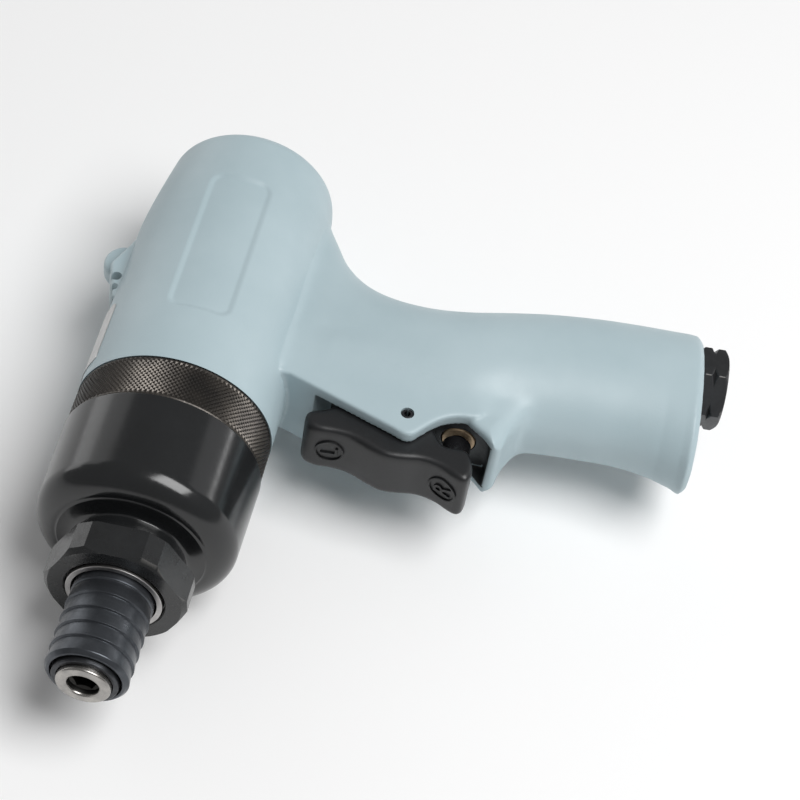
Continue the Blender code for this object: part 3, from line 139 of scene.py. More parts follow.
def turned_mesh(outline, steps=128, angles=None):
    """A closed (x, radius) outline turned about the axis; a radius may be a list, one per angle."""
    if angles is None:
        angles = [2 * math.pi * i / steps for i in range(steps)]
    bm = bmesh.new()
    rings = []
    for x, radius in outline:
        around = zip(radius if hasattr(radius, "__len__") else [radius] * len(angles), angles)
        rings.append([bm.verts.new((x, r * math.cos(a), r * math.sin(a))) for r, a in around])
    quads(bm, rings + rings[:1])
    return bm


def turned(name, outline, steps=128, sharp=30.0, even=True, place=None):
    """A turned piece; place moves it from the spindle's axis to an axis of its own."""
    bm = turned_mesh(outline, steps)
    if place:
        bm.transform(place)
    obj = settle(name, bm, sharp)
    if even:
        even_shading(obj)
    return obj


def prism(name, outline, low, high, axis="Z", sharp=30.0):
    """An outline carried from low to high, along Z or along X."""
    bm = bmesh.new()
    face = bm.faces.new([bm.verts.new((u, v, low)) for u, v in outline])
    top = bmesh.ops.extrude_face_region(bm, geom=[face])["geom"]
    raised = [v for v in top if isinstance(v, bmesh.types.BMVert)]
    bmesh.ops.translate(bm, vec=(0, 0, high - low), verts=raised)
    if axis == "X":
        bm.transform(Matrix(((0, 0, 1, 0), (1, 0, 0, 0), (0, 1, 0, 0), (0, 0, 0, 1))))
    return settle(name, bm, sharp)


def bar(name, start, end, radius, steps=48):
    """A round bar between two points, for drilling and for pins."""
    run = Vector(end) - Vector(start)
    bm = bmesh.new()
    bmesh.ops.create_cone(bm, cap_ends=True, segments=steps, radius1=radius, radius2=radius,
                          depth=run.length)
    middle = Matrix.Translation((Vector(start) + Vector(end)) / 2)
    bm.transform(middle @ run.to_track_quat("Z", "Y").to_matrix().to_4x4())
    return settle(name, bm)


def ring_of(radius, corners, middle=(0.0, 0.0)):
    """The corners of a regular polygon."""
    angles = [2 * math.pi * i / corners for i in range(corners)]
    return [(middle[0] + radius * math.cos(a), middle[1] + radius * math.sin(a)) for a in angles]


def group(name, inputs, *outputs):
    """A shader group that takes a Place and other inputs, and the nodes that carry its sockets."""
    tree = bpy.data.node_groups.new(name, "ShaderNodeTree")
    tree.interface.new_socket("Place", in_out="INPUT", socket_type="NodeSocketVector")
    for label, value in inputs.items():
        kind = "NodeSocketFloat" if isinstance(value, float) else "NodeSocketColor"
        tree.interface.new_socket(label, in_out="INPUT", socket_type=kind).default_value = value
    for label in outputs:
        kind = "NodeSocketColor" if label == "Colour" else "NodeSocketFloat"
        tree.interface.new_socket(label, in_out="OUTPUT", socket_type=kind)
    return tree, tree.nodes.new("NodeGroupInput"), tree.nodes.new("NodeGroupOutput")


def node(tree, kind, links=(), **values):
    """A node with its settings; in_ before a name means a socket. links are (output, input)."""
    made = tree.nodes.new(kind)
    for label, value in values.items():
        if label.startswith("in_"):
            key = label[3:].replace("_", " ")
            socket = made.inputs[int(key)] if key.isdigit() else made.inputs[key]
            socket.default_value = value
        else:
            setattr(made, label, value)
    for output, target in links:
        tree.links.new(output, made.inputs[target])
    return made


def value_of(tree, operation, *terms):
    """The value of an operation on sockets and plain numbers."""
    made = node(tree, "ShaderNodeMath", operation=operation)
    for i, term in enumerate(terms):
        if isinstance(term, float):
            made.inputs[i].default_value = term
        else:
            tree.links.new(term, made.inputs[i])
    return made.outputs["Value"]


def spread(tree, value, low, high, to_low=0.0, to_high=1.0):
    """A value with its part from low to high spread over a range of its own."""
    return node(tree, "ShaderNodeMapRange", [(value, "Value")], in_From_Min=low, in_From_Max=high,
                in_To_Min=to_low, in_To_Max=to_high).outputs["Result"]


def noise_in(tree, start, detail, roughness=0.5):
    """Noise over the surface, at the Place and Size that a group is given."""
    links = [(start.outputs["Place"], "Vector"), (start.outputs["Size"], "Scale")]
    made = node(tree, "ShaderNodeTexNoise", links, in_Detail=detail, in_Roughness=roughness)
    return made.outputs["Fac"]


def put_out(tree, end, **sockets):
    """Sends sockets out of a group by name."""
    for label, socket in sockets.items():
        tree.links.new(socket, end.inputs[label])
    return tree


def patches_group():
    """Soft patches of two colours, as paint, oil and handling leave on any surface."""
    inputs = {"Size": 60.0, "Light": (1, 1, 1, 1), "Dark": (0, 0, 0, 1)}
    tree, start, end = group("patches", inputs, "Colour", "Mask")
    mask = spread(tree, noise_in(tree, start, 4.0, 0.62), 0.32, 0.68)
    links = [(mask, "Factor"), (start.outputs["Light"], 6), (start.outputs["Dark"], 7)]
    mix = node(tree, "ShaderNodeMix", links, data_type="RGBA")
    return put_out(tree, end, Colour=mix.outputs[2], Mask=mask)


def grain_group():
    """Fine even grain as a height in millimetres, for a cast, sprayed or moulded surface."""
    tree, start, end = group("grain", {"Size": 1200.0, "Depth": 0.02}, "Height", "Mask")
    noise = noise_in(tree, start, 3.0, 0.7)
    height = value_of(tree, "MULTIPLY", noise, start.outputs["Depth"])
    return put_out(tree, end, Height=height, Mask=spread(tree, noise, 0.3, 0.72))


def tool_marks_group():
    """The rings a turning tool leaves about the spindle's axis, on faces and round sides alike."""
    tree, start, end = group("tool marks", {"Fineness": 2600.0, "Depth": 0.004}, "Height", "Mask")
    place, fineness = start.outputs["Place"], start.outputs["Fineness"]
    middle = node(tree, "ShaderNodeVectorMath", [(place, 0)], operation="SUBTRACT",
                  in_1=tuple(NOSE))
    split = node(tree, "ShaderNodeSeparateXYZ", [(middle.outputs["Vector"], 0)]).outputs
    flat = node(tree, "ShaderNodeCombineXYZ", [(split["Y"], "X"), (split["Z"], "Y")])
    radius = node(tree, "ShaderNodeVectorMath", [(flat.outputs["Vector"], 0)], operation="LENGTH")
    along = value_of(tree, "MULTIPLY", split["X"], fineness)
    out = value_of(tree, "MULTIPLY", radius.outputs["Value"], fineness)
    spot = node(tree, "ShaderNodeCombineXYZ", [(along, "X"), (out, "Y")]).outputs["Vector"]
    cut = node(tree, "ShaderNodeTexNoise", [(spot, "Vector")], in_Scale=1.0, in_Detail=3.0)
    height = value_of(tree, "MULTIPLY", cut.outputs["Fac"], start.outputs["Depth"])
    return put_out(tree, end, Height=height, Mask=spread(tree, cut.outputs["Fac"], 0.3, 0.7))


def wear_group():
    """Where corners rub: a mask along raised edges, broken up so that the wear comes and goes."""
    inputs = {"Size": 260.0, "Start": 0.55, "Full": 0.68}
    tree, start, end = group("edge wear", inputs, "Mask")
    shape = node(tree, "ShaderNodeNewGeometry")
    shift = value_of(tree, "MULTIPLY_ADD", noise_in(tree, start, 5.0), 0.12, -0.06)
    edge = value_of(tree, "ADD", shape.outputs["Pointiness"], shift)
    links = [(edge, "Value"), (start.outputs["Start"], "From Min"),
             (start.outputs["Full"], "From Max")]
    mask = node(tree, "ShaderNodeMapRange", links)
    return put_out(tree, end, Mask=mask.outputs["Result"])


PATCHES = patches_group()
GRAIN = grain_group()
TOOL_MARKS = tool_marks_group()
WEAR = wear_group()


def finish(name, light, dark, patch=60.0, metal=0.0, smooth=0.3, rough=0.4, grain=(1200.0, 0.0),
           marks=None, worn=None, specular=0.5):
    """A material: two colours in patches, roughness that follows them, and a bump of grain (size,
    depth) or of tool marks (fineness, depth). worn is (colour, start, full) for rubbed edges."""
    mat = bpy.data.materials.new(name)
    mat.use_nodes = True
    tree = mat.node_tree
    shader = tree.nodes["Principled BSDF"].inputs
    here = [(node(tree, "ShaderNodeTexCoord").outputs["Object"], "Place")]
    colour = node(tree, "ShaderNodeGroup", here, node_tree=PATCHES, in_Size=patch,
                  in_Light=(*light, 1), in_Dark=(*dark, 1))
    tint = colour.outputs["Colour"]
    if marks:
        bump = node(tree, "ShaderNodeGroup", here, node_tree=TOOL_MARKS, in_Fineness=marks[0],
                    in_Depth=marks[1])
    else:
        bump = node(tree, "ShaderNodeGroup", here, node_tree=GRAIN, in_Size=grain[0],
                    in_Depth=grain[1])
    blend = value_of(tree, "ADD", colour.outputs["Mask"], bump.outputs["Mask"])
    if worn:
        wear = node(tree, "ShaderNodeGroup", here, node_tree=WEAR, in_Start=worn[1],
                    in_Full=worn[2])
        tint = node(tree, "ShaderNodeMix", [(wear.outputs["Mask"], "Factor"), (tint, 6)],
                    data_type="RGBA", in_7=(*worn[0], 1)).outputs[2]
    tree.links.new(tint, shader["Base Color"])
    tree.links.new(spread(tree, blend, 0.3, 1.7, smooth, rough), shader["Roughness"])
    height = node(tree, "ShaderNodeBump", [(bump.outputs["Height"], "Height")], in_Strength=1.0,
                  in_Distance=MM)
    tree.links.new(height.outputs["Normal"], shader["Normal"])
    shader["Metallic"].default_value = metal
    shader["Specular IOR Level"].default_value = specular
    return mat


def fit(obj, mat, body, slot, *nodes):
    """Gives a piece its material and its body, and hides the plain pieces that it stands for; slot
    is not used.
    """
    obj.data.materials.clear()
    obj.data.materials.append(mat)
    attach(obj, body)
    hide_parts(*nodes)


def also(obj, mat, where):
    """Gives the faces for which where(x, y, z) is true a second material, such as a painted shade
    in a hollow.
    """
    obj.data.materials.append(mat)
    for face in obj.data.polygons:
        if where(*((face.center - NOSE) / MM)):
            face.material_index = 1


def dress(mat, *nodes):
    """Gives a material to pieces that stay as the frame has them."""
    for name in nodes:
        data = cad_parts[name].data
        data.materials.clear()
        data.materials.append(mat)


SOCKET_FLATS, SOCKET_DEPTH = 6.45, 22.0
JAW_INSIDE, JAW_OUTSIDE, JAW_TURN = 6.0, 9.9, 70.0
spindle_outline = eased([
    (0.0, 0.0), (0.0, 6.8, 0.55), (-3.1, 6.8, 0.2), (-3.1, 5.6), (-4.5, 5.6), (-4.5, 6.3, 0.2),
    (-36.3, 6.3), (-36.3, 8.0, 0.3), (-67.5, 8.0), (-67.5, 4.6), (-70.0, 4.6, 0.3), (-70.0, 0.0)])
spindle = turned("ground_spindle", spindle_outline, even=False)
jaws = []
for side in (0, 1):
    arc = [math.radians(180 * side + JAW_TURN * i / 12) for i in range(13)]
    outer = [(JAW_OUTSIDE * math.cos(a), JAW_OUTSIDE * math.sin(a)) for a in arc]
    inner = [(JAW_INSIDE * math.cos(a), JAW_INSIDE * math.sin(a)) for a in reversed(arc)]
    jaws.append(prism(f"jaw_{side}", outer + inner, -67.3, -51.2, axis="X"))
machine(spindle, "UNION", *jaws)
socket = prism("socket", ring_of(SOCKET_FLATS / math.sqrt(3), 6), -SOCKET_DEPTH, 1.0, axis="X")
mouth = turned("mouth", [
    (1.0, 0.0), (1.0, 5.4), (0.0, 4.4), (-0.25, 4.05), (-0.6, 3.9), (-1.8, 3.86), (-2.5, 3.15),
    (-2.5, 0.0)], steps=96, even=False)
ball_hole = bar("ball_hole", (-7.5, 0, 1.75), (-7.5, 0, 7.5), 2.05)
machine(spindle, "DIFFERENCE", socket, mouth, ball_hole)
even_shading(spindle)

bright_steel = finish(
    "ground steel", (0.45, 0.43, 0.405), (0.3, 0.29, 0.28), patch=260.0, metal=1.0, smooth=0.2,
    rough=0.38, marks=(5200.0, 0.006))
fit(spindle, bright_steel, "spindle", "steel_bright", "anvil_spindle")
# Painted shade: the inside of the socket and its mouth get a much darker steel colour than the
# spindle, for the shade in the hole.
socket_painted_shade = finish(
    "socket painted shade", (0.1, 0.097, 0.092), (0.05, 0.049, 0.047), patch=260.0, metal=1.0,
    smooth=0.35, rough=0.55, marks=(2600.0, 0.01))
also(spindle, socket_painted_shade, lambda x, y, z: x < -0.5 and math.hypot(y, z) < 4.0)

# ---- Bit lock ----------------------------------------------------------------
# A hard ball in the spindle's wall locks the bit. An open snap ring of blued steel, with a thin
# collar in front, is sprung into the groove and stops the sleeve, and a coiled wire spring behind
# the sleeve's land pushes it forward.

ring_line = [(-3.4, 5.75), (-3.4, 6.95), (-1.5, 6.95, 0.15), (-1.5, 8.25, 0.3), (-4.2, 8.5, 0.25),
             (-4.2, 5.75)]
snap_ring = turned("snap_ring", eased(ring_line), steps=96)
slit = prism("slit", [(-0.6, -9.5), (0.6, -9.5), (0.6, -4.5), (-0.6, -4.5)], -6.0, -2.0, axis="X")
machine(snap_ring, "DIFFERENCE", slit)
# Blued steel, kept darker than the sleeve's as painted shade for the snap ring sitting in the nose;
# the rocker pin shares it.
ring_steel = finish(
    "snap ring steel", (0.075, 0.078, 0.085), (0.04, 0.042, 0.046), patch=400.0, metal=0.9,
    smooth=0.3, rough=0.45, grain=(2400.0, 0.006))
fit(snap_ring, ring_steel, "spindle", "steel_blued", "retaining_ring")
spring_steel = finish(
    "spring wire", (0.5, 0.5, 0.5), (0.34, 0.34, 0.35), patch=500.0, metal=1.0, smooth=0.25,
    rough=0.4, grain=(3000.0, 0.004))
WIRE = 0.45


def coil(name, node_name, body, turns):
    """A wire spring with closed ends in the room of its plain piece."""
    box_low, box_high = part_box(node_name)
    low, high = (box_low - NOSE) / MM, (box_high - NOSE) / MM
    radius = (high.y - low.y) / 2 - WIRE
    length = high.x - low.x
    steps = 28 * turns
    section_turns = [2 * math.pi * k / 12 for k in range(12)]
    bm = bmesh.new()
    loops = []
    for i in range(steps + 1):
        a = 2 * math.pi * turns * i / steps
        rise = min(max((i / steps - 0.6 / turns) / (1 - 1.2 / turns), 0.0), 1.0)
        out = Vector((0.0, math.cos(a), math.sin(a)))
        x = low.x + WIRE + (length - 2 * WIRE) * rise
        hub = Vector((x, (low.y + high.y) / 2, (low.z + high.z) / 2)) + radius * out
        section = [math.cos(b) * out + Vector((math.sin(b), 0.0, 0.0)) for b in section_turns]
        loops.append([bm.verts.new(hub + WIRE * point) for point in section])
    quads(bm, loops)
    bm.faces.new(loops[0])
    bm.faces.new(loops[-1])
    spring = settle(name, bm, 50.0)
    fit(spring, spring_steel, body, "steel_spring", node_name)
    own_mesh(spring)


coil("sleeve_coil", "sleeve_spring", "spindle", 5)
for side in ("left", "right"):
    coil(f"valve_coil_{side}", f"valve_spring_{side}", "housing", 4)
dress(bright_steel, "bit_lock_ball")

# ---- Release sleeve ----------------------------------------------------------
# The blued steel sleeve that the fingers pull back to free the bit. Its grip is five turned ribs,
# each sloping down towards the housing and ending in a small step, and its tail is smooth.

RIB_FRONT, RIB_PITCH = -3.5, 4.2
RIB_TOP, RIB_FOOT = 10.5, 9.98
sleeve_corners = [(-2.5, 8.9, 0.25), (-2.5, 9.6, 0.2), (RIB_FRONT, RIB_TOP, 0.25)]
for rib in range(5):
    rib_front = RIB_FRONT - rib * RIB_PITCH
    if rib:
        sleeve_corners.append((rib_front, RIB_TOP, 0.07))
    sleeve_corners.append((rib_front - 0.94 * RIB_PITCH, RIB_FOOT, 0.05))
sleeve_corners += [
    (-24.5, 10.3, 0.3), (-28.1, 10.25, 0.3), (-28.1, 8.6, 0.2), (-10.3, 8.6), (-10.3, 6.7, 0.2),
    (-4.8, 6.7, 0.2), (-4.8, 8.9)]
sleeve = turned("ribbed_sleeve", eased(sleeve_corners), steps=160, sharp=28.0)
blued_steel = finish(
    "blued steel", (0.1, 0.108, 0.12), (0.055, 0.06, 0.068), patch=180.0, metal=0.85, smooth=0.27,
    rough=0.44, marks=(3600.0, 0.009))
fit(sleeve, blued_steel, "release_sleeve", "steel_blued", "release_sleeve")

# ---- Nose nut and bush -------------------------------------------------------
# The black nut that holds the bush in the case: six wide and six narrow flats, its face turned back
# to a round rim. The steel bush inside it carries the spindle, and its thin bright mouth takes the
# sleeve's tail.

NUT_FACE, NUT_BACK = -26.6, -35.6
WIDE, NARROW = 16.6, 17.9
NUT_TURN = -26.0
apart = math.radians(30.0)
half_flat = math.atan((NARROW - WIDE * math.cos(apart)) / (WIDE * math.sin(apart)))
corner_radius = WIDE / math.cos(half_flat)
nut_corners = []
for flat in range(6):
    for side in (-half_flat, half_flat):
        corner = math.radians(60.0 * flat + NUT_TURN) + side
        nut_corners.append((corner_radius * math.cos(corner), corner_radius * math.sin(corner)))
nut = prism("flatted_nut", nut_corners, NUT_BACK, NUT_FACE, axis="X", sharp=12.0)
nut_turning = turned("nut_turning", [
    (NUT_FACE + 1.0, 15.75), (NUT_FACE - 1.28, 18.03), (NUT_BACK + 0.4, 18.03),
    (NUT_BACK - 0.6, 17.03), (NUT_BACK - 0.6, 24.0), (NUT_FACE + 1.0, 24.0)], steps=180, even=False)
nut_bore = turned("nut_bore", [
    (NUT_BACK - 1.0, 0.0), (NUT_BACK - 1.0, 13.4), (NUT_FACE - 1.3, 13.4), (NUT_FACE - 1.3, 12.6),
    (NUT_FACE - 0.3, 12.6), (NUT_FACE + 1.0, 13.9), (NUT_FACE + 1.0, 0.0)], steps=144, even=False)
machine(nut, "DIFFERENCE", nut_turning, nut_bore, sharp=12.0)
break_edges = nut.modifiers.new("broken edges", "BEVEL")
break_edges.width = 0.16 * MM
break_edges.segments = 3
break_edges.limit_method = "ANGLE"
break_edges.angle_limit = math.radians(14.0)
even_shading(nut)
black_enamel = finish(
    "black enamel", (0.013, 0.014, 0.015), (0.008, 0.0085, 0.009), patch=35.0, smooth=0.13,
    rough=0.23, grain=(700.0, 0.005), specular=0.6)
nut_enamel = finish(
    "nut enamel", (0.018, 0.019, 0.02), (0.011, 0.0115, 0.012), patch=120.0, smooth=0.18,
    rough=0.32, grain=(900.0, 0.01), worn=((0.09, 0.088, 0.085), 0.7, 0.86))
fit(nut, nut_enamel, "housing", "enamel_black", "nose_nut")

bush = turned("thin_bush", eased([
    (-26.1, 10.75, 0.12), (-26.1, 12.15, 0.2), (-28.0, 12.15), (-28.3, 11.9), (-45.6, 11.9, 0.4),
    (-45.6, 8.1), (-34.6, 8.1), (-34.6, 10.75)]), steps=144)
bush_steel = finish(
    "bush steel", (0.5, 0.49, 0.48), (0.36, 0.35, 0.345), patch=200.0, metal=1.0, smooth=0.3,
    rough=0.42, marks=(4200.0, 0.005))
fit(bush, bush_steel, "housing", "steel_bright", "spindle_bush")

# ---- Hammer case -------------------------------------------------------------
# The front case is turned and baked in hard gloss enamel: a neck for the nut, a step and a full
# round shoulder, then a straight side with a little draft. Its spigots go into the nut and into the
# coupling ring.


def ellipse(middle, along, out, first, last, points):
    """Points along part of an ellipse in the (x, radius) plane."""
    turns = [math.radians(first + (last - first) * i / (points - 1)) for i in range(points)]
    return [(middle[0] + along * math.cos(a), middle[1] + out * math.sin(a)) for a in turns]


case_corners = [(-28.2, 12.2), (-28.2, 13.1, 0.3), (-35.9, 13.1), (-35.9, 14.4, 0.25)]
case_corners += ellipse((-39.9, 19.0), 1.3, 4.6, 270, 184, 12)
case_corners += [(-41.2, 18.9), (-41.45, 19.2), (-41.5, 19.6)]
case_corners += ellipse((-47.9, 19.0), 6.45, 6.7, 9, 90, 26)
case_corners += [(-69.4, 26.0, 0.35), (-69.4, 23.9), (-75.0, 23.9, 0.3), (-75.0, 22.3)]
case_corners += [(-47.9, 22.3), (-43.6, 15.3), (-43.6, 12.2)]
case = turned("enamelled_case", eased(case_corners), steps=192, sharp=35.0)
fit(case, black_enamel, "housing", "enamel_black", "hammer_case")

# ---- Coupling ring -----------------------------------------------------------
# The ring that screws the case to the housing. Its grip is a cut diamond knurl of small pyramids
# between two plain edges, and it is left in brown-black oxide.

KNURL_PITCHES, KNURL_ROWS = 124, 17
KNURL_TOP, KNURL_DEPTH = 25.68, 0.42
RING_FRONT, RING_BACK = -69.7, -81.9


def knurled(name):
    """The ring with its pyramids: high and low points alternate, and each square of the grip folds
    along its low corners."""
    bm = bmesh.new()
    steps = KNURL_PITCHES * 2
    turns = [2 * math.pi * i / steps for i in range(steps)]

    def loop(x, radii):
        return [bm.verts.new((x, r * math.cos(a), r * math.sin(a))) for r, a in zip(radii, turns)]

    plain = [loop(x, [r] * steps) for x, r in (
        (RING_FRONT, 24.2), (RING_FRONT, 25.0), (RING_FRONT - 0.12, 25.28),
        (RING_FRONT - 0.4, 25.42))]
    first, last = RING_FRONT - 0.75, RING_BACK + 0.75
    grip = []
    for j in range(KNURL_ROWS):
        x = first + (last - first) * j / (KNURL_ROWS - 1)
        fade = 0.6 if j in (0, KNURL_ROWS - 1) else 1.0
        lows = [1.0 - fade * ((i + j) % 2) for i in range(steps)]
        grip.append(loop(x, [KNURL_TOP - KNURL_DEPTH * low for low in lows]))
    closing = [loop(x, [r] * steps) for x, r in (
        (RING_BACK + 0.4, 25.42), (RING_BACK + 0.12, 25.28), (RING_BACK, 25.0), (RING_BACK, 24.2))]
    quads(bm, plain + grip[:1])
    for j, (one, two) in enumerate(zip(grip, grip[1:])):
        for i in range(steps):
            n = (i + 1) % steps
            a, b, c, d = one[i], one[n], two[n], two[i]
            for half in ((b, c, d), (d, a, b)) if (i + j) % 2 else ((a, b, c), (c, d, a)):
                bm.faces.new(half)
    quads(bm, grip[-1:] + closing + plain[:1])
    return settle(name, bm, 12.0)


ring = knurled("knurled_ring")
oxide = finish(
    "brown-black oxide", (0.1, 0.09, 0.08), (0.045, 0.042, 0.04), patch=90.0, metal=0.85,
    smooth=0.28, rough=0.45, grain=(2600.0, 0.012), worn=((0.5, 0.47, 0.43), 0.56, 0.72))
fit(ring, oxide, "housing", "steel_oxide", "coupling_ring")

# ---- Clutch and motor --------------------------------------------------------
# The working parts inside: hardened and oiled hammers, cage and rotor on ground pins and bearings,
# vanes of cloth laminate that slide in the rotor's slots, and an iron cylinder clamped between its
# end plates.

dark_steel = finish(
    "oiled steel", (0.24, 0.24, 0.24), (0.15, 0.15, 0.15), patch=90.0, metal=1.0, smooth=0.28,
    rough=0.45, marks=(2600.0, 0.008))
machined_iron = finish(
    "machined iron", (0.4, 0.4, 0.4), (0.28, 0.28, 0.28), patch=80.0, metal=0.9, smooth=0.38,
    rough=0.55, marks=(2200.0, 0.01))
laminate = finish(
    "cloth laminate", (0.38, 0.2, 0.09), (0.28, 0.14, 0.06), patch=900.0, smooth=0.5, rough=0.65,
    grain=(2600.0, 0.02))
dress(dark_steel, "hammer_cage", "hammer_front", "hammer_rear", "rotor")
dress(bright_steel, "hammer_pin_front", "hammer_pin_rear", "front_bearing", "rear_bearing")
dress(machined_iron, "cylinder_liner", "front_end_plate", "rear_end_plate")
dress(laminate, "vane_1", "vane_2", "vane_3", "vane_4", "vane_5", "vane_6")

# ---- Housing -----------------------------------------------------------------
# Barrel, neck and grip are one light-alloy casting with soft fillets, two cheeks that hold the
# rocker's pin, a thin guard at its lower end, an exhaust hood and an eye to hang it by. It is
# machined in front and inside, and sprayed in a fine satin blue-grey.

FRONT = -82.2
BARREL_RADIUS = 25.7
PIN_X, PIN_Y = -93.4, 57.5
EYE_X, EYE_Y = -128.4, -26.1
VALVE_DROPS = {"left": 43.5, "right": 71.5}
CHEEK_HALF = 12.0
OVAL = 2.15
BASE_LEAN = math.tan(math.radians(5.0))


def barrel_radius(x):
    """The barrel's outside radius: straight, then a slight taper."""
    t = min(max((-138.0 - x) / 25.0, 0.0), 1.0)
    return BARREL_RADIUS - 2.7 * t**1.4


def flowing(points, pieces=6, closed=False):
    """A smooth line through the points, in any number of dimensions."""
    p = np.array(points, float)
    if closed:
        p = np.vstack([p[-1], p, p[:2]])
    else:
        p = np.vstack([2 * p[0] - p[1], p, 2 * p[-1] - p[-2]])
    line = []
    for i in range(1, len(p) - 2):
        for t in np.linspace(0, 1, pieces, endpoint=False):
            a, b, c, d = p[i - 1:i + 3]
            square, cube = 2 * a - 5 * b + 4 * c - d, 3 * b - a - 3 * c + d
            line.append(0.5 * (2 * b + (c - a) * t + square * t * t + cube * t**3))
    if not closed:
        line.append(p[-2])
    return [tuple(q) for q in line]


# Each row: how far below the axis, the front and the back edge behind the housing's front face, and
# half the width.
neck_rows = [
    (12.0, 15.6, 74.0, 10.0), (22.0, 15.3, 76.4, 11.4), (26.5, 15.4, 71.0, 11.9),
    (31.5, 15.6, 62.8, 12.2), (38.0, 15.8, 57.2, 12.6), (46.0, 16.0, 54.4, 13.2),
    (56.0, 16.2, 53.7, 14.1), (66.0, 16.4, 55.2, 14.8), (76.0, 17.6, 58.0, 15.3)]
foot_rows = [
    (88.0, 20.8, 61.0, 15.5), (101.0, 22.6, 63.4, 15.5), (112.0, 23.4, 64.7, 15.5),
    (121.0, 22.4, 65.5, 15.6), (126.5, 20.6, 66.0, 15.8), (128.6, 19.2, 66.0, 15.8),
    (130.0, 20.6, 64.6, 14.6)]
grip_rows = flowing(neck_rows + foot_rows[:4], 5) + foot_rows[4:]


def grip_blank():
    """The handle, lofted through flattened ovals from inside the barrel to its flared foot."""
    bm = bmesh.new()
    loops = []
    for drop, front, back, half in grip_rows:
        middle, depth = FRONT - (front + back) / 2, (back - front) / 2
        lean = BASE_LEAN * max(0.0, (drop - 76.0) / 54.0)
        loop = []
        for i in range(96):
            a = 2 * math.pi * i / 96
            u, v = (math.copysign(abs(w) ** (2 / OVAL), w) for w in (math.cos(a), math.sin(a)))
            loop.append(bm.verts.new((middle + depth * u, drop + lean * depth * u, half * v)))
        loops.append(loop)
    quads(bm, loops)
    bm.faces.new(loops[0])
    bm.faces.new(loops[-1])
    return settle("grip_blank", bm)


def about_pin(points):
    """Points given from the rocker's pin, from the nose instead."""
    return [(PIN_X + x, PIN_Y + y) for x, y in points]


def plate_blank(name, outline, half, edge):
    """A flat blank across the tool with its two rims bevelled."""
    blank = prism(name, outline, -half, half)
    bm = bmesh.new()
    bm.from_mesh(blank.data)
    level = [NOSE.z - half * MM, NOSE.z + half * MM]
    rims = [e for e in bm.edges if any(all(abs(v.co.z - z) < 1e-6 for v in e.verts) for z in level)]
    bmesh.ops.bevel(bm, geom=rims, offset=edge * MM, segments=3, profile=0.5, affect="EDGES",
                    clamp_overlap=True)
    bm.to_mesh(blank.data)
    bm.free()
    return blank


crown_turns = np.linspace(0, 1.5, 16)
crown = [(-163.0 - 7.5 * math.sin(a), 23.0 * math.sqrt(math.cos(a))) for a in crown_turns]
barrel_line = [(-76.0, 0.0), (-76.0, BARREL_RADIUS)]
barrel_line += [(x, barrel_radius(x)) for x in np.linspace(-78, -162.4, 40)]
barrel_line += crown + [(-170.5, 0.0)]
casting = turned("painted_housing", barrel_line, steps=160, even=False)
cheek_edge = flowing([
    (5.2, -3.2), (6.3, -0.2), (6.4, 1.4), (5.8, 2.8), (3.6, 4.6), (0.9, 6.8), (-1.6, 9.6),
    (-3.2, 12.9), (-4.6, 18.0), (-10.0, 20.4)], 4)
cheek_line = [(-112.0, 14.0), (-97.2, 14.0), (-97.2, 25.6)]
cheek_line += about_pin(cheek_edge) + [(-112.0, 79.0)]
guard_edge = flowing([
    (-6.0, 13.0), (-2.7, 16.5), (-0.4, 20.0), (1.9, 22.5), (2.2, 24.2), (1.0, 25.4), (-2.2, 26.0),
    (-5.5, 27.2), (-8.5, 28.6), (-13.0, 30.2)], 4)
guard_line = about_pin([(-18.0, 12.5)] + guard_edge + [(-18.0, 31.0)])
hood_edge = flowing([
    (-109.4, -24.5), (-115.5, -26.4), (-121.5, -28.4), (-123.2, -28.8), (-124.9, -28.2),
    (-130.0, -26.1), (-135.4, -24.1)], 4)
hood_line = [(-136.2, -21.0), (-108.6, -21.0)] + hood_edge
lug_line = ring_of(5.84, 40, middle=(EYE_X, EYE_Y))
blanks = [grip_blank(), plate_blank("cheeks", cheek_line, half=CHEEK_HALF, edge=0.7),
          plate_blank("guard", guard_line, half=11.2, edge=1.8),
          plate_blank("hood", hood_line, half=7.6, edge=0.8),
          plate_blank("lug", lug_line, half=2.6, edge=0.9)]
machine(casting, "UNION", *blanks)
slot_line = eased([(-98.3, 37.0, 1.5), (-95.8, 33.4, 0.6), (-80.0, 33.4), (-80.0, 80.0),
                   (-98.3, 80.0, 2.0)])
machine(casting, "DIFFERENCE", prism("rocker_slot", slot_line, -8.4, 8.4))


def mesh_points(obj):
    """A mesh's points in millimetres from the nose."""
    co = np.empty(len(obj.data.vertices) * 3, np.float32)
    obj.data.vertices.foreach_get("co", co)
    return (co.reshape(-1, 3).astype(float) - np.array(NOSE)) / MM


def set_points(obj, points):
    """Moves a mesh's points to new places."""
    obj.data.vertices.foreach_set("co", (points * MM + np.array(NOSE)).astype(np.float32).ravel())
    obj.data.update()


def ramp(value, low, high):
    """0 below low, 1 above high, and smooth between."""
    t = np.clip((value - low) / (high - low), 0.0, 1.0)
    return t * t * (3 - 2 * t)


def soften(obj, rounds, weight=None):
    """Rubs a mesh smooth, all over or by a weight for each point."""
    step = obj.modifiers.new("soften", "SMOOTH")
    step.iterations = rounds
    if weight is not None:
        marked = obj.vertex_groups.new(name="soft")
        for level in range(1, 9):
            chosen = np.nonzero(np.round(weight * 8) == level)[0]
            marked.add(chosen.tolist(), level / 8, "REPLACE")
        step.vertex_group = "soft"
    make_good(obj)
    obj.vertex_groups.clear()


def cast(obj, size):
    """Makes a piece one closed skin of small even squares, ready to be smoothed like a casting."""
    skin = obj.modifiers.new("skin", "REMESH")
    skin.mode = "VOXEL"
    skin.voxel_size = size * MM
    make_good(obj)


cast(casting, 0.46)
soften(casting, 3)


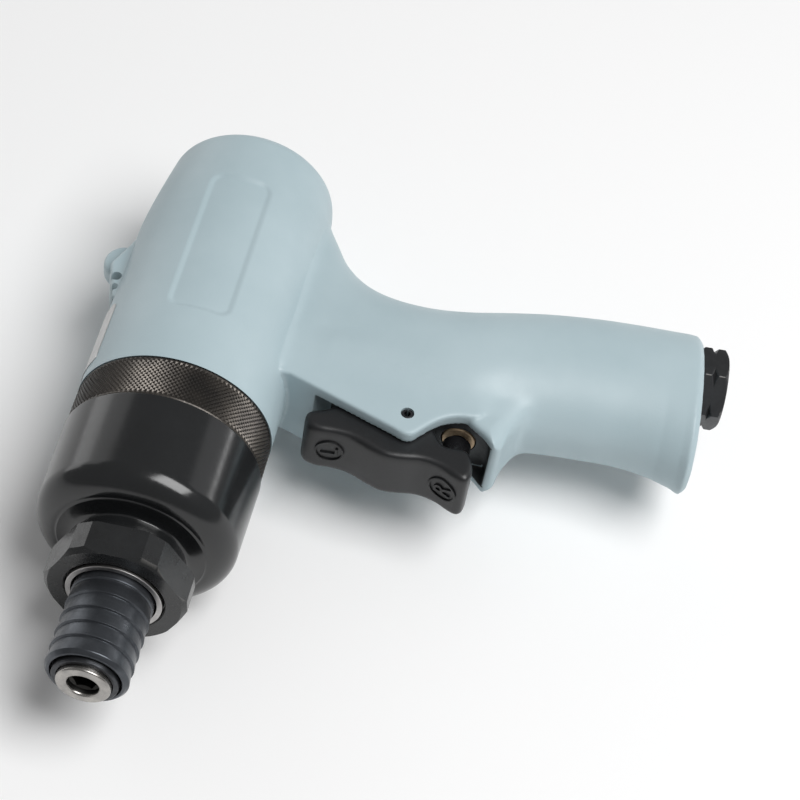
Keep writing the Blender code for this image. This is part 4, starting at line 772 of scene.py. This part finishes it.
def flush(points):
    """Lets the flat sides of the cheeks run on into the rounder handle, with no line between."""
    x, y, z = points.T
    rows = np.array([row for row in grip_rows if row[0] < 90.0])
    front, back, half = (np.interp(y, rows[:, 0], rows[:, k]) for k in (1, 2, 3))
    middle, depth = FRONT - (front + back) / 2, (back - front) / 2
    off_middle = np.clip(np.abs(x - middle) / depth, 0.0, 1.0)
    handle = half * (1.0 - off_middle**OVAL) ** (1 / OVAL)
    out = np.abs(z)
    swell = 1.6 * np.log1p(np.exp(-np.abs(handle - CHEEK_HALF) / 1.6)) * ramp(x, -117.0, -110.0)
    swell *= ramp(y, 27.0, 35.0) * ramp(-y, -80.0, -72.0)
    level = handle + np.maximum(CHEEK_HALF - handle, 0.0) * (1.0 - ramp(-x, 112.0, 130.0)) + swell
    behind = (x < -111.0) & (x > -131.0) & (y > 18.0) & (y < 48.0) & (out > 8.8)
    new = np.where(behind, np.maximum(out, level), out + swell * ramp(out, 8.8, 11.2))
    return np.column_stack((x, y, np.sign(z) * new))


def round_guard(points):
    """Rounds the guard's outer corners, seen along the handle, to a quarter of a flat oval."""
    x, y, z = points.T
    line = [(u, v) for u, v in about_pin(guard_edge) if v > PIN_Y + 24.0][::-1]
    outer = np.interp(x, *zip(*line))
    down, out = y - (outer - 6.0), np.abs(z) - 7.6
    far = np.hypot(down / 6.0, out / 3.7)
    share = ramp(x, -110.0, -101.0) * ramp(-down, -7.6, -6.6) * (down > 0) * (out > 0) * (far > 1.0)
    scale = 1.0 + (1.0 / np.maximum(far, 1.0) - 1.0) * share
    return np.column_stack((x, y + down * (scale - 1.0), z + np.sign(z) * out * (scale - 1.0)))


set_points(casting, round_guard(flush(mesh_points(casting))))
# The fillets: rubbed round where the neck joins the barrel and down the guard's sides and back.
x, y, z = mesh_points(casting).T
join = ramp(-np.abs(np.hypot(y, z) - 27.0), -6.5, -3.0) * ramp(y, 8.0, 13.0) * ramp(-x, 98.2, 100.5)
outside = ramp(np.abs(z), 8.8, 10.0)
guard_side = ramp(x, -126.0, -114.0) * ramp(-x, 98.5, 101.5) * outside
guard_side *= ramp(y, 66.0, 73.0) * ramp(-y, -104.0, -95.0)
guard_back = np.maximum(ramp(y, 83.0, 85.0), ramp(y, 80.5, 83.0) * outside)
guard_back *= ramp(-y, -104.0, -96.0) * ramp(x, -119.0, -110.0)
soften(casting, 180, np.maximum(np.maximum(0.6 * join, guard_side), guard_back))

RECESS_X, RECESS_LONG, RECESS_WIDE = -123.7, 24.5, 8.6
RECESS_CORNER, RECESS_DEPTH = 3.6, 0.7


def true_up(points):
    """Brings the barrel back to a true round and presses the shallow recess into each side."""
    x, y, z = points.T
    radius = np.hypot(y, z)
    aim = np.array([barrel_radius(station) for station in x])
    off = radius - aim
    kept = off * ramp(np.abs(off), 0.1, 0.35)
    along = np.abs(x - RECESS_X) - RECESS_LONG + RECESS_CORNER
    up = np.abs(y) - RECESS_WIDE + RECESS_CORNER
    inside = np.maximum(along, up)
    beyond = np.hypot(np.maximum(along, 0.0), np.maximum(up, 0.0))
    edge = np.where(inside > 0, beyond, inside) - RECESS_CORNER
    pressed = RECESS_DEPTH * ramp(-edge, -0.1, 1.5) * (np.abs(z) > 15)
    new = np.where(np.abs(off) < 0.6, aim + kept - pressed, radius)
    scale = np.where((x > -162.5) & (radius > 10), new / np.maximum(radius, 1e-6), 1.0)
    return np.column_stack((x, y * scale, z * scale))


set_points(casting, true_up(mesh_points(casting)))

front_tool = turned("front_tool", [
    (-60.0, 0.0), (-60.0, 40.0), (-81.0, 40.0), (-81.0, 26.4), (-81.7, 25.75), (-82.12, 25.4),
    (FRONT, 25.1), (FRONT, 23.9), (-76.6, 23.9), (-76.6, 0.0)], steps=160, even=False)
bore_tool = turned("bore_tool", [
    (-70.0, 0.0), (-70.0, 21.9), (-140.5, 21.9), (-140.5, 11.3), (-145.5, 11.3), (-145.5, 0.0)],
    steps=160, even=False)
INLET = Matrix.Translation((-135.0, 129.108, 0.0)) @ Matrix.Rotation(math.radians(95.0), 4, "Z")


def along_inlet(distance):
    """A point on the inlet's axis, out from the handle's end face."""
    return INLET @ Vector((distance, 0.0, 0.0))


drills = [bar("inlet_drill", along_inlet(3.0), along_inlet(-12.3), radius=8.5),
          bar("passage", along_inlet(-11.0), (-124.2, 38.0, 0.0), radius=5.0),
          bar("pin_drill", (PIN_X, PIN_Y, -14.0), (PIN_X, PIN_Y, 14.0), radius=1.75),
          bar("eye_drill", (EYE_X, EYE_Y, -5.0), (EYE_X, EYE_Y, 5.0), radius=2.4),
          bar("motor_port", (-108.3, 43.5, 0.0), (-108.3, 11.0, 0.0), radius=2.0)]
for side, drop in VALVE_DROPS.items():
    drills.append(bar(f"valve_drill_{side}", (-97.0, drop, 0.0), (-119.3, drop, 0.0), 4.7))
for port in range(3):
    size = 0.7 + 0.35 * port
    x, y = -111.6 - 3.6 * port, -25.4 + 0.7 - size
    drills.append(bar(f"exhaust_port_{port}", (x, y, -9.0), (x, y, 9.0), size))
chamber_line = [(-110.0, -18.9), (-120.6, -18.9), (-120.6, -25.4), (-110.0, -25.4)]
chamber = prism("silencer_chamber", chamber_line, -5.8, 5.8)
machine(casting, "DIFFERENCE", front_tool, bore_tool, chamber, *drills, sharp=38.0)

paint = finish(
    "satin blue-grey paint", (0.43, 0.53, 0.565), (0.385, 0.485, 0.52), patch=26.0, smooth=0.36,
    rough=0.52, grain=(1500.0, 0.022), specular=0.45)
fit(casting, paint, "housing", "paint_grey", "motor_housing")
# Painted shade: the faces inside the deep rocker slot get a very dark colour in place of the
# blue-grey paint, for the shade in the slot.
slot_painted_shade = finish(
    "rocker slot painted shade", (0.085, 0.095, 0.1), (0.04, 0.045, 0.048), patch=150.0, metal=0.3,
    smooth=0.45, rough=0.65, grain=(1100.0, 0.05))


def slot_face(x, y, z):
    """True on the faces inside the rocker's slot, which are painted dark as shade."""
    in_slot = abs(z) < 8.5 and -122.0 < x < -86.0 and 37.5 < y < 80.3
    return in_slot and (abs(z) > 8.2 or x < -98.0 or y > 79.0)


also(casting, slot_painted_shade, slot_face)

felt = finish(
    "felt", (0.5, 0.48, 0.42), (0.36, 0.34, 0.3), patch=900.0, smooth=0.9, rough=1.0,
    grain=(2600.0, 0.2))
dress(felt, "exhaust_felt")

# ---- Name plate --------------------------------------------------------------
# The thin plate bent over the top of the barrel and glued down. Its corners are rounded and its
# face is bare metal in one neutral colour.

PLATE_FRONT, PLATE_LENGTH, PLATE_CORNER = -85.8, 20.0, 1.6
PLATE_RADIUS, PLATE_HALF_TURN = 25.72, math.radians(30.0)
plate_bm = bmesh.new()
plate_rows = []
for i in range(41):
    along = i / 40
    near_end = min(min(along, 1 - along) * PLATE_LENGTH, PLATE_CORNER)
    trim = PLATE_CORNER - math.sqrt(max(PLATE_CORNER**2 - (PLATE_CORNER - near_end) ** 2, 0.0))
    half_turn = PLATE_HALF_TURN - trim / 25.9
    row = []
    for j in range(61):
        a = math.pi + half_turn * (2 * j / 60 - 1)
        spot = (PLATE_FRONT - PLATE_LENGTH * along, PLATE_RADIUS * math.cos(a),
                PLATE_RADIUS * math.sin(a))
        row.append(plate_bm.verts.new(spot))
    plate_rows.append(row)
for one, two in zip(plate_rows, plate_rows[1:]):
    for j in range(60):
        plate_bm.faces.new((one[j], two[j], two[j + 1], one[j + 1]))
sticker = settle("bare_plate", plate_bm)
sheet_metal = sticker.modifiers.new("sheet", "SOLIDIFY")
sheet_metal.thickness = 0.25 * MM
sheet_metal.offset = 1.0
make_good(sticker, 40.0)
plate_metal = finish(
    "bare plate", (0.56, 0.56, 0.555), (0.5, 0.5, 0.495), patch=60.0, metal=0.4, smooth=0.3,
    rough=0.42, grain=(1800.0, 0.006))
fit(sticker, plate_metal, "housing", "plate_silver", "name_plate")

# ---- Rocker ------------------------------------------------------------------
# The two-way rocker under the finger is moulded in black plastic with full round edges, a hollow
# for the finger at each end and a hump over its pin. A ring and one control letter stand up on each
# end: L and R.

ROCKER_FRONT = [
    (3.2, -24.6), (5.9, -25.0), (8.0, -23.6), (8.7, -20.3), (8.3, -16.5), (8.6, -12.0),
    (10.6, -6.5), (11.7, -2.5), (11.2, 2.0), (10.3, 6.5), (11.1, 11.5), (13.0, 15.6), (13.5, 17.8),
    (12.4, 19.2), (8.6, 19.4)]
ROCKER_REAR = [
    (3.7, 17.0), (3.7, 10.8), (-1.2, 7.0), (-3.1, 3.2), (-3.4, 0.0), (-3.0, -4.0), (-1.2, -10.8),
    (-1.2, -17.0), (1.4, -21.0)]
rocker_edge = about_pin(flowing(ROCKER_FRONT + ROCKER_REAR, 4, closed=True))
rocker = plate_blank("moulded_rocker", rocker_edge, half=8.0, edge=1.6)
cast(rocker, 0.4)
soften(rocker, 14)
# Rubbing it smooth draws the flat sides in a little, so they are brought out again.
FLAT_SIDE = 7.6
rocker_points = mesh_points(rocker)
across = rocker_points[:, 2]
stretched = np.sign(across) * (FLAT_SIDE + (np.abs(across) - FLAT_SIDE) * 1.05)
rocker_points[:, 2] = np.where(np.abs(across) > FLAT_SIDE, stretched, across)
set_points(rocker, rocker_points)
machine(rocker, "DIFFERENCE", bar("rocker_hole", (PIN_X, PIN_Y, -9.0), (PIN_X, PIN_Y, 9.0), 1.9),
        sharp=40.0)
black_plastic = finish(
    "moulded black plastic", (0.013, 0.0138, 0.0152), (0.0095, 0.01, 0.011), patch=70.0,
    smooth=0.32, rough=0.44, grain=(1700.0, 0.016))
fit(rocker, black_plastic, "trigger", "plastic_black", "trigger")

fronts, drops = zip(*flowing(ROCKER_FRONT, 8)[8:-16])


def rocker_surface(y):
    """How far forward of the pin the rocker's front is, at a distance below the pin."""
    return float(np.interp(y, drops, fronts))


def raised_mark(name, letter, middle, size, ring_radius):
    """A letter in a ring on the rocker's front. Its top points towards the barrel."""
    bm = bmesh.new()
    text = bpy.data.curves.new(name, "FONT")
    text.body = letter
    text.align_x = "CENTER"
    text.align_y = "CENTER"
    text.size = size
    text.offset = 0.06
    text.extrude = 0.5
    glyph = bpy.data.objects.new(name, text)
    bpy.context.scene.collection.objects.link(glyph)
    bpy.context.view_layer.update()
    bm.from_mesh(glyph.evaluated_get(bpy.context.evaluated_depsgraph_get()).to_mesh())
    bpy.data.objects.remove(glyph)
    xs = [v.co.x for v in bm.verts]
    ys = [v.co.y for v in bm.verts]
    shift = Vector(((max(xs) + min(xs)) / 2, (max(ys) + min(ys)) / 2, 0.0))
    bmesh.ops.translate(bm, vec=-shift, verts=bm.verts)
    loops = []
    for inset, level in ((0.0, -0.5), (0.0, 0.42), (0.1, 0.5), (0.42, 0.5), (0.52, 0.42),
                         (0.52, -0.5)):
        loops.append([bm.verts.new((u, v, level)) for u, v in ring_of(ring_radius - inset, 72)])
    quads(bm, loops + loops[:1])
    for cut in np.arange(-size, size, 0.35):
        geometry = bm.verts[:] + bm.edges[:] + bm.faces[:]
        bmesh.ops.bisect_plane(bm, geom=geometry, plane_co=(0, cut, 0), plane_no=(0, 1, 0),
                               dist=1e-5)
    for v in bm.verts:
        across, up, level = v.co
        y = middle - up
        v.co = Vector((PIN_X + rocker_surface(y) + 0.05 + level * 0.9, PIN_Y + y, across))
    return settle(name, bm, 35.0)


# Painted shade: the raised rings and letters are coloured a little darker than the rocker, for the
# shade along their sides.
mark_painted_shade = finish(
    "raised mark painted shade", (0.01, 0.0105, 0.0115), (0.007, 0.0074, 0.008), patch=200.0, smooth=0.4,
    rough=0.52, grain=(1700.0, 0.01))
for name, letter, middle in (("mark_L", "L", -17.4), ("mark_R", "R", 12.9)):
    mark = raised_mark(name, letter, middle, size=6.3, ring_radius=3.85)
    mark.data.materials.append(mark_painted_shade)
    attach(mark, "trigger")

# ---- Rocker pin --------------------------------------------------------------
# A hollow pin rolled from blued spring steel, with a slit along it. It is pressed through the two
# cheeks, and the rocker turns on it.

PIN_HALF = 11.7
pin_corners = [(-PIN_HALF, 0.85), (-PIN_HALF, 1.5, 0.2), (PIN_HALF, 1.5, 0.2), (PIN_HALF, 0.85)]
pin_place = Matrix.Translation((PIN_X, PIN_Y, 0.0)) @ Matrix.Rotation(-math.pi / 2, 4, "Y")
roll_pin = turned("spring_pin", eased(pin_corners), steps=48, place=pin_place)
slit_line = about_pin([(-2.0, -0.2), (0.0, -0.2), (0.0, 0.2), (-2.0, 0.2)])
machine(roll_pin, "DIFFERENCE", prism("pin_slit", slit_line, -13.0, 13.0))
fit(roll_pin, ring_steel, "housing", "steel_blued", "trigger_pin")

# ---- Valves ------------------------------------------------------------------
# Behind each end of the rocker a plastic stem with a domed button slides in a turned brass bushing,
# sealed by a rubber ring. Pressing it lets air through for one direction of turning.

brass = finish(
    "turned brass", (0.8, 0.62, 0.42), (0.58, 0.43, 0.28), patch=420.0, metal=0.6, smooth=0.42,
    rough=0.6, grain=(1300.0, 0.05))
stem_plastic = finish(
    "stem plastic", (0.014, 0.014, 0.015), (0.01, 0.01, 0.011), patch=150.0, smooth=0.1, rough=0.2,
    grain=(1500.0, 0.004))
rubber = finish(
    "rubber", (0.025, 0.025, 0.025), (0.018, 0.018, 0.018), patch=200.0, smooth=0.7, rough=0.85,
    grain=(2000.0, 0.01))
BUSHING_FRONT, BUSHING_RADIUS, BUTTON_RADIUS = -98.0, 4.4, 3.7
for side, tip in (("left", -95.0), ("right", -90.1)):
    seat = Matrix.Translation((0.0, VALVE_DROPS[side], 0.0))
    bushing = turned(f"brass_bushing_{side}", eased([
        (BUSHING_FRONT, 2.1, 0.2), (BUSHING_FRONT, BUSHING_RADIUS, 0.3), (-101.2, BUSHING_RADIUS),
        (-101.2, 3.2), (-102.8, 3.2), (-102.8, BUSHING_RADIUS), (-106.0, BUSHING_RADIUS, 0.2),
        (-106.0, 2.1)]),
        steps=64, place=seat)
    fit(bushing, brass, "housing", "brass", f"valve_bushing_{side}")
    rear = (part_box(f"valve_stem_{side}")[0].x - NOSE.x) / MM
    neck = BUSHING_FRONT + 1.52
    crown_height = min(2.0, tip - neck - 0.3)
    dome = [(tip - crown_height * (1 - math.sin(a)), BUTTON_RADIUS * math.cos(a))
            for a in np.linspace(1.5708, 0.0, 12)]
    stem = turned(f"domed_stem_{side}", dome + [
        (neck, BUTTON_RADIUS), (neck, 1.7), (rear + 3.0, 1.7), (rear + 3.0, BUTTON_RADIUS),
        (rear, BUTTON_RADIUS), (rear, 0.0)], steps=64, place=seat)
    fit(stem, stem_plastic, f"valve_stem_{side}", "plastic_black", f"valve_stem_{side}")
dress(rubber, "valve_seal_left", "valve_seal_right")

# ---- Air inlet ---------------------------------------------------------------
# The hexagon bushing screwed into the handle's foot takes the hose fitting. It is turned from bar
# in black oxide, with a V groove round its corners and an inside thread, and a brass strainer lies
# at its inner end.


def soft_least(values, ease):
    """The least of several values, with the change from one to the next rounded over."""
    least = min(values)
    return least - ease * math.log(sum(math.exp((least - v) / ease) for v in values))


HEX_HALF, HEX_TURN = 9.6, 50.0
GROOVE_X, HEX_END = 3.75, 7.5


def hexagon_reach(angle):
    """How far out the hexagon's side is at an angle."""
    turns = [angle - math.radians(HEX_TURN + 30.0 + 60.0 * i) for i in range(6)]
    return soft_least([HEX_HALF / math.cos(t) for t in turns if math.cos(t) > 0.6], 0.06)


hex_angles = []
for i in range(6):
    corner = HEX_TURN + 60.0 * i
    hex_angles += [corner + d for d in (-2.4, -1.6, -1.0, -0.6, -0.3, 0.0, 0.3, 0.6, 1.0, 1.6, 2.4)]
    hex_angles += [corner + d for d in np.linspace(5, 55, 16)]
hex_angles = sorted(math.radians(a % 360.0) for a in hex_angles)
hex_sides = [hexagon_reach(a) for a in hex_angles]
hex_rings = [(-12.0, 5.9), (-12.0, 7.9), (-11.7, 8.2), (0.1, 8.2), (0.3, 9.3)]
for x in np.linspace(0.35, HEX_END, 60):
    from_end = HEX_END - x
    # The corners reach as far as the inner chamfer, the outer one and the V groove let them.
    limits = (9.9 + (x - 0.3) * 1.6, 9.75 + from_end * 1.25 - 0.2 * math.exp(-from_end / 0.15),
              9.85 + abs(x - GROOVE_X) * 1.35)
    hex_rings.append((x, [soft_least((s, *limits), 0.05) for s in hex_sides]))
hex_rings += [(HEX_END, 7.1), (7.42, 6.95), (6.9, 6.45)]
# The inside thread is a row of plain grooves.
for i in range(14):
    x = 6.6 - 0.9 * i
    hex_rings += [(x, 6.1), (x - 0.4, 6.55), (x - 0.5, 6.55)]
hex_rings += [(-6.4, 6.1), (-6.6, 5.9)]
inlet_mesh = turned_mesh(hex_rings, angles=hex_angles)
inlet_mesh.transform(INLET)
inlet = settle("hexagon_inlet", inlet_mesh, 26.0)
even_shading(inlet)
black_oxide = finish(
    "black oxide", (0.05, 0.052, 0.055), (0.032, 0.033, 0.035), patch=160.0, metal=0.6, smooth=0.33,
    rough=0.5, grain=(1500.0, 0.018), worn=((0.26, 0.25, 0.24), 0.6, 0.76))
fit(inlet, black_oxide, "housing", "oxide_black", "air_inlet_bushing")
dress(brass, "inlet_screen")

# ---- Bench, light and camera -------------------------------------------------
# The tool lies on a plain pale bench in a pale room, lit by five soft lamps: a large one above, and
# four weaker ones at its sides that bring out the round black pieces.

bench_mesh = bpy.data.meshes.new("bench")
bench_mesh.from_pydata([(-3, -3, 0), (3, -3, 0), (3, 3, 0), (-3, 3, 0)], [], [(0, 1, 2, 3)])
bench = bpy.data.objects.new("bench", bench_mesh)
bpy.context.scene.collection.objects.link(bench)
bench_paint = finish(
    "pale bench", (0.93, 0.93, 0.93), (0.92, 0.92, 0.92), patch=2.0, smooth=0.75, rough=0.85)
bench_mesh.materials.append(bench_paint)

room = bpy.data.worlds.new("room")
room.use_nodes = True
room.node_tree.nodes["Background"].inputs["Color"].default_value = (1.0, 1.0, 1.0, 1.0)
room.node_tree.nodes["Background"].inputs["Strength"].default_value = 0.24
bpy.context.scene.world = room


def lamp(name, place, width, height, power, aim=(0.0, 0.0, 0.03)):
    """A soft lamp: an evenly lit panel that points at a place on the bench."""
    data = bpy.data.lights.new(name, "AREA")
    data.shape = "RECTANGLE"
    data.size = width
    data.size_y = height
    data.energy = power
    obj = bpy.data.objects.new(name, data)
    obj.location = place
    obj.rotation_euler = (Vector(aim) - Vector(place)).to_track_quat("-Z", "Y").to_euler()
    bpy.context.scene.collection.objects.link(obj)


lamp("lamp_main", (0.12, 0.48, 1.05), 0.75, 0.75, power=12.5, aim=(-0.02, 0.0, 0.03))
lamp("lamp_left_low", (-0.6, -0.85, 0.1), 0.9, 0.46, power=2.0)
lamp("lamp_left_high", (-0.6, -0.75, 0.5), 0.7, 0.34, power=0.45)
lamp("lamp_right", (-0.62, 0.68, 0.42), 0.5, 0.5, power=0.35)
lamp("lamp_strip", (-0.6, 0.72, 0.24), 0.3, 0.05, power=0.2)

lens = bpy.data.cameras.new("camera")
lens.lens = 110.4
lens.sensor_width = 36.0
camera = bpy.data.objects.new("camera", lens)
camera.matrix_world = Matrix((
    (-0.20554, -0.75019, 0.62846, 0.38125),
    (0.97124, -0.23525, 0.03684, 0.02508),
    (0.12020, 0.61796, 0.77697, 0.5238),
    (0.0, 0.0, 0.0, 1.0)))
bpy.context.scene.collection.objects.link(camera)
bpy.context.scene.camera = camera
bpy.context.scene.view_settings.view_transform = "Standard"
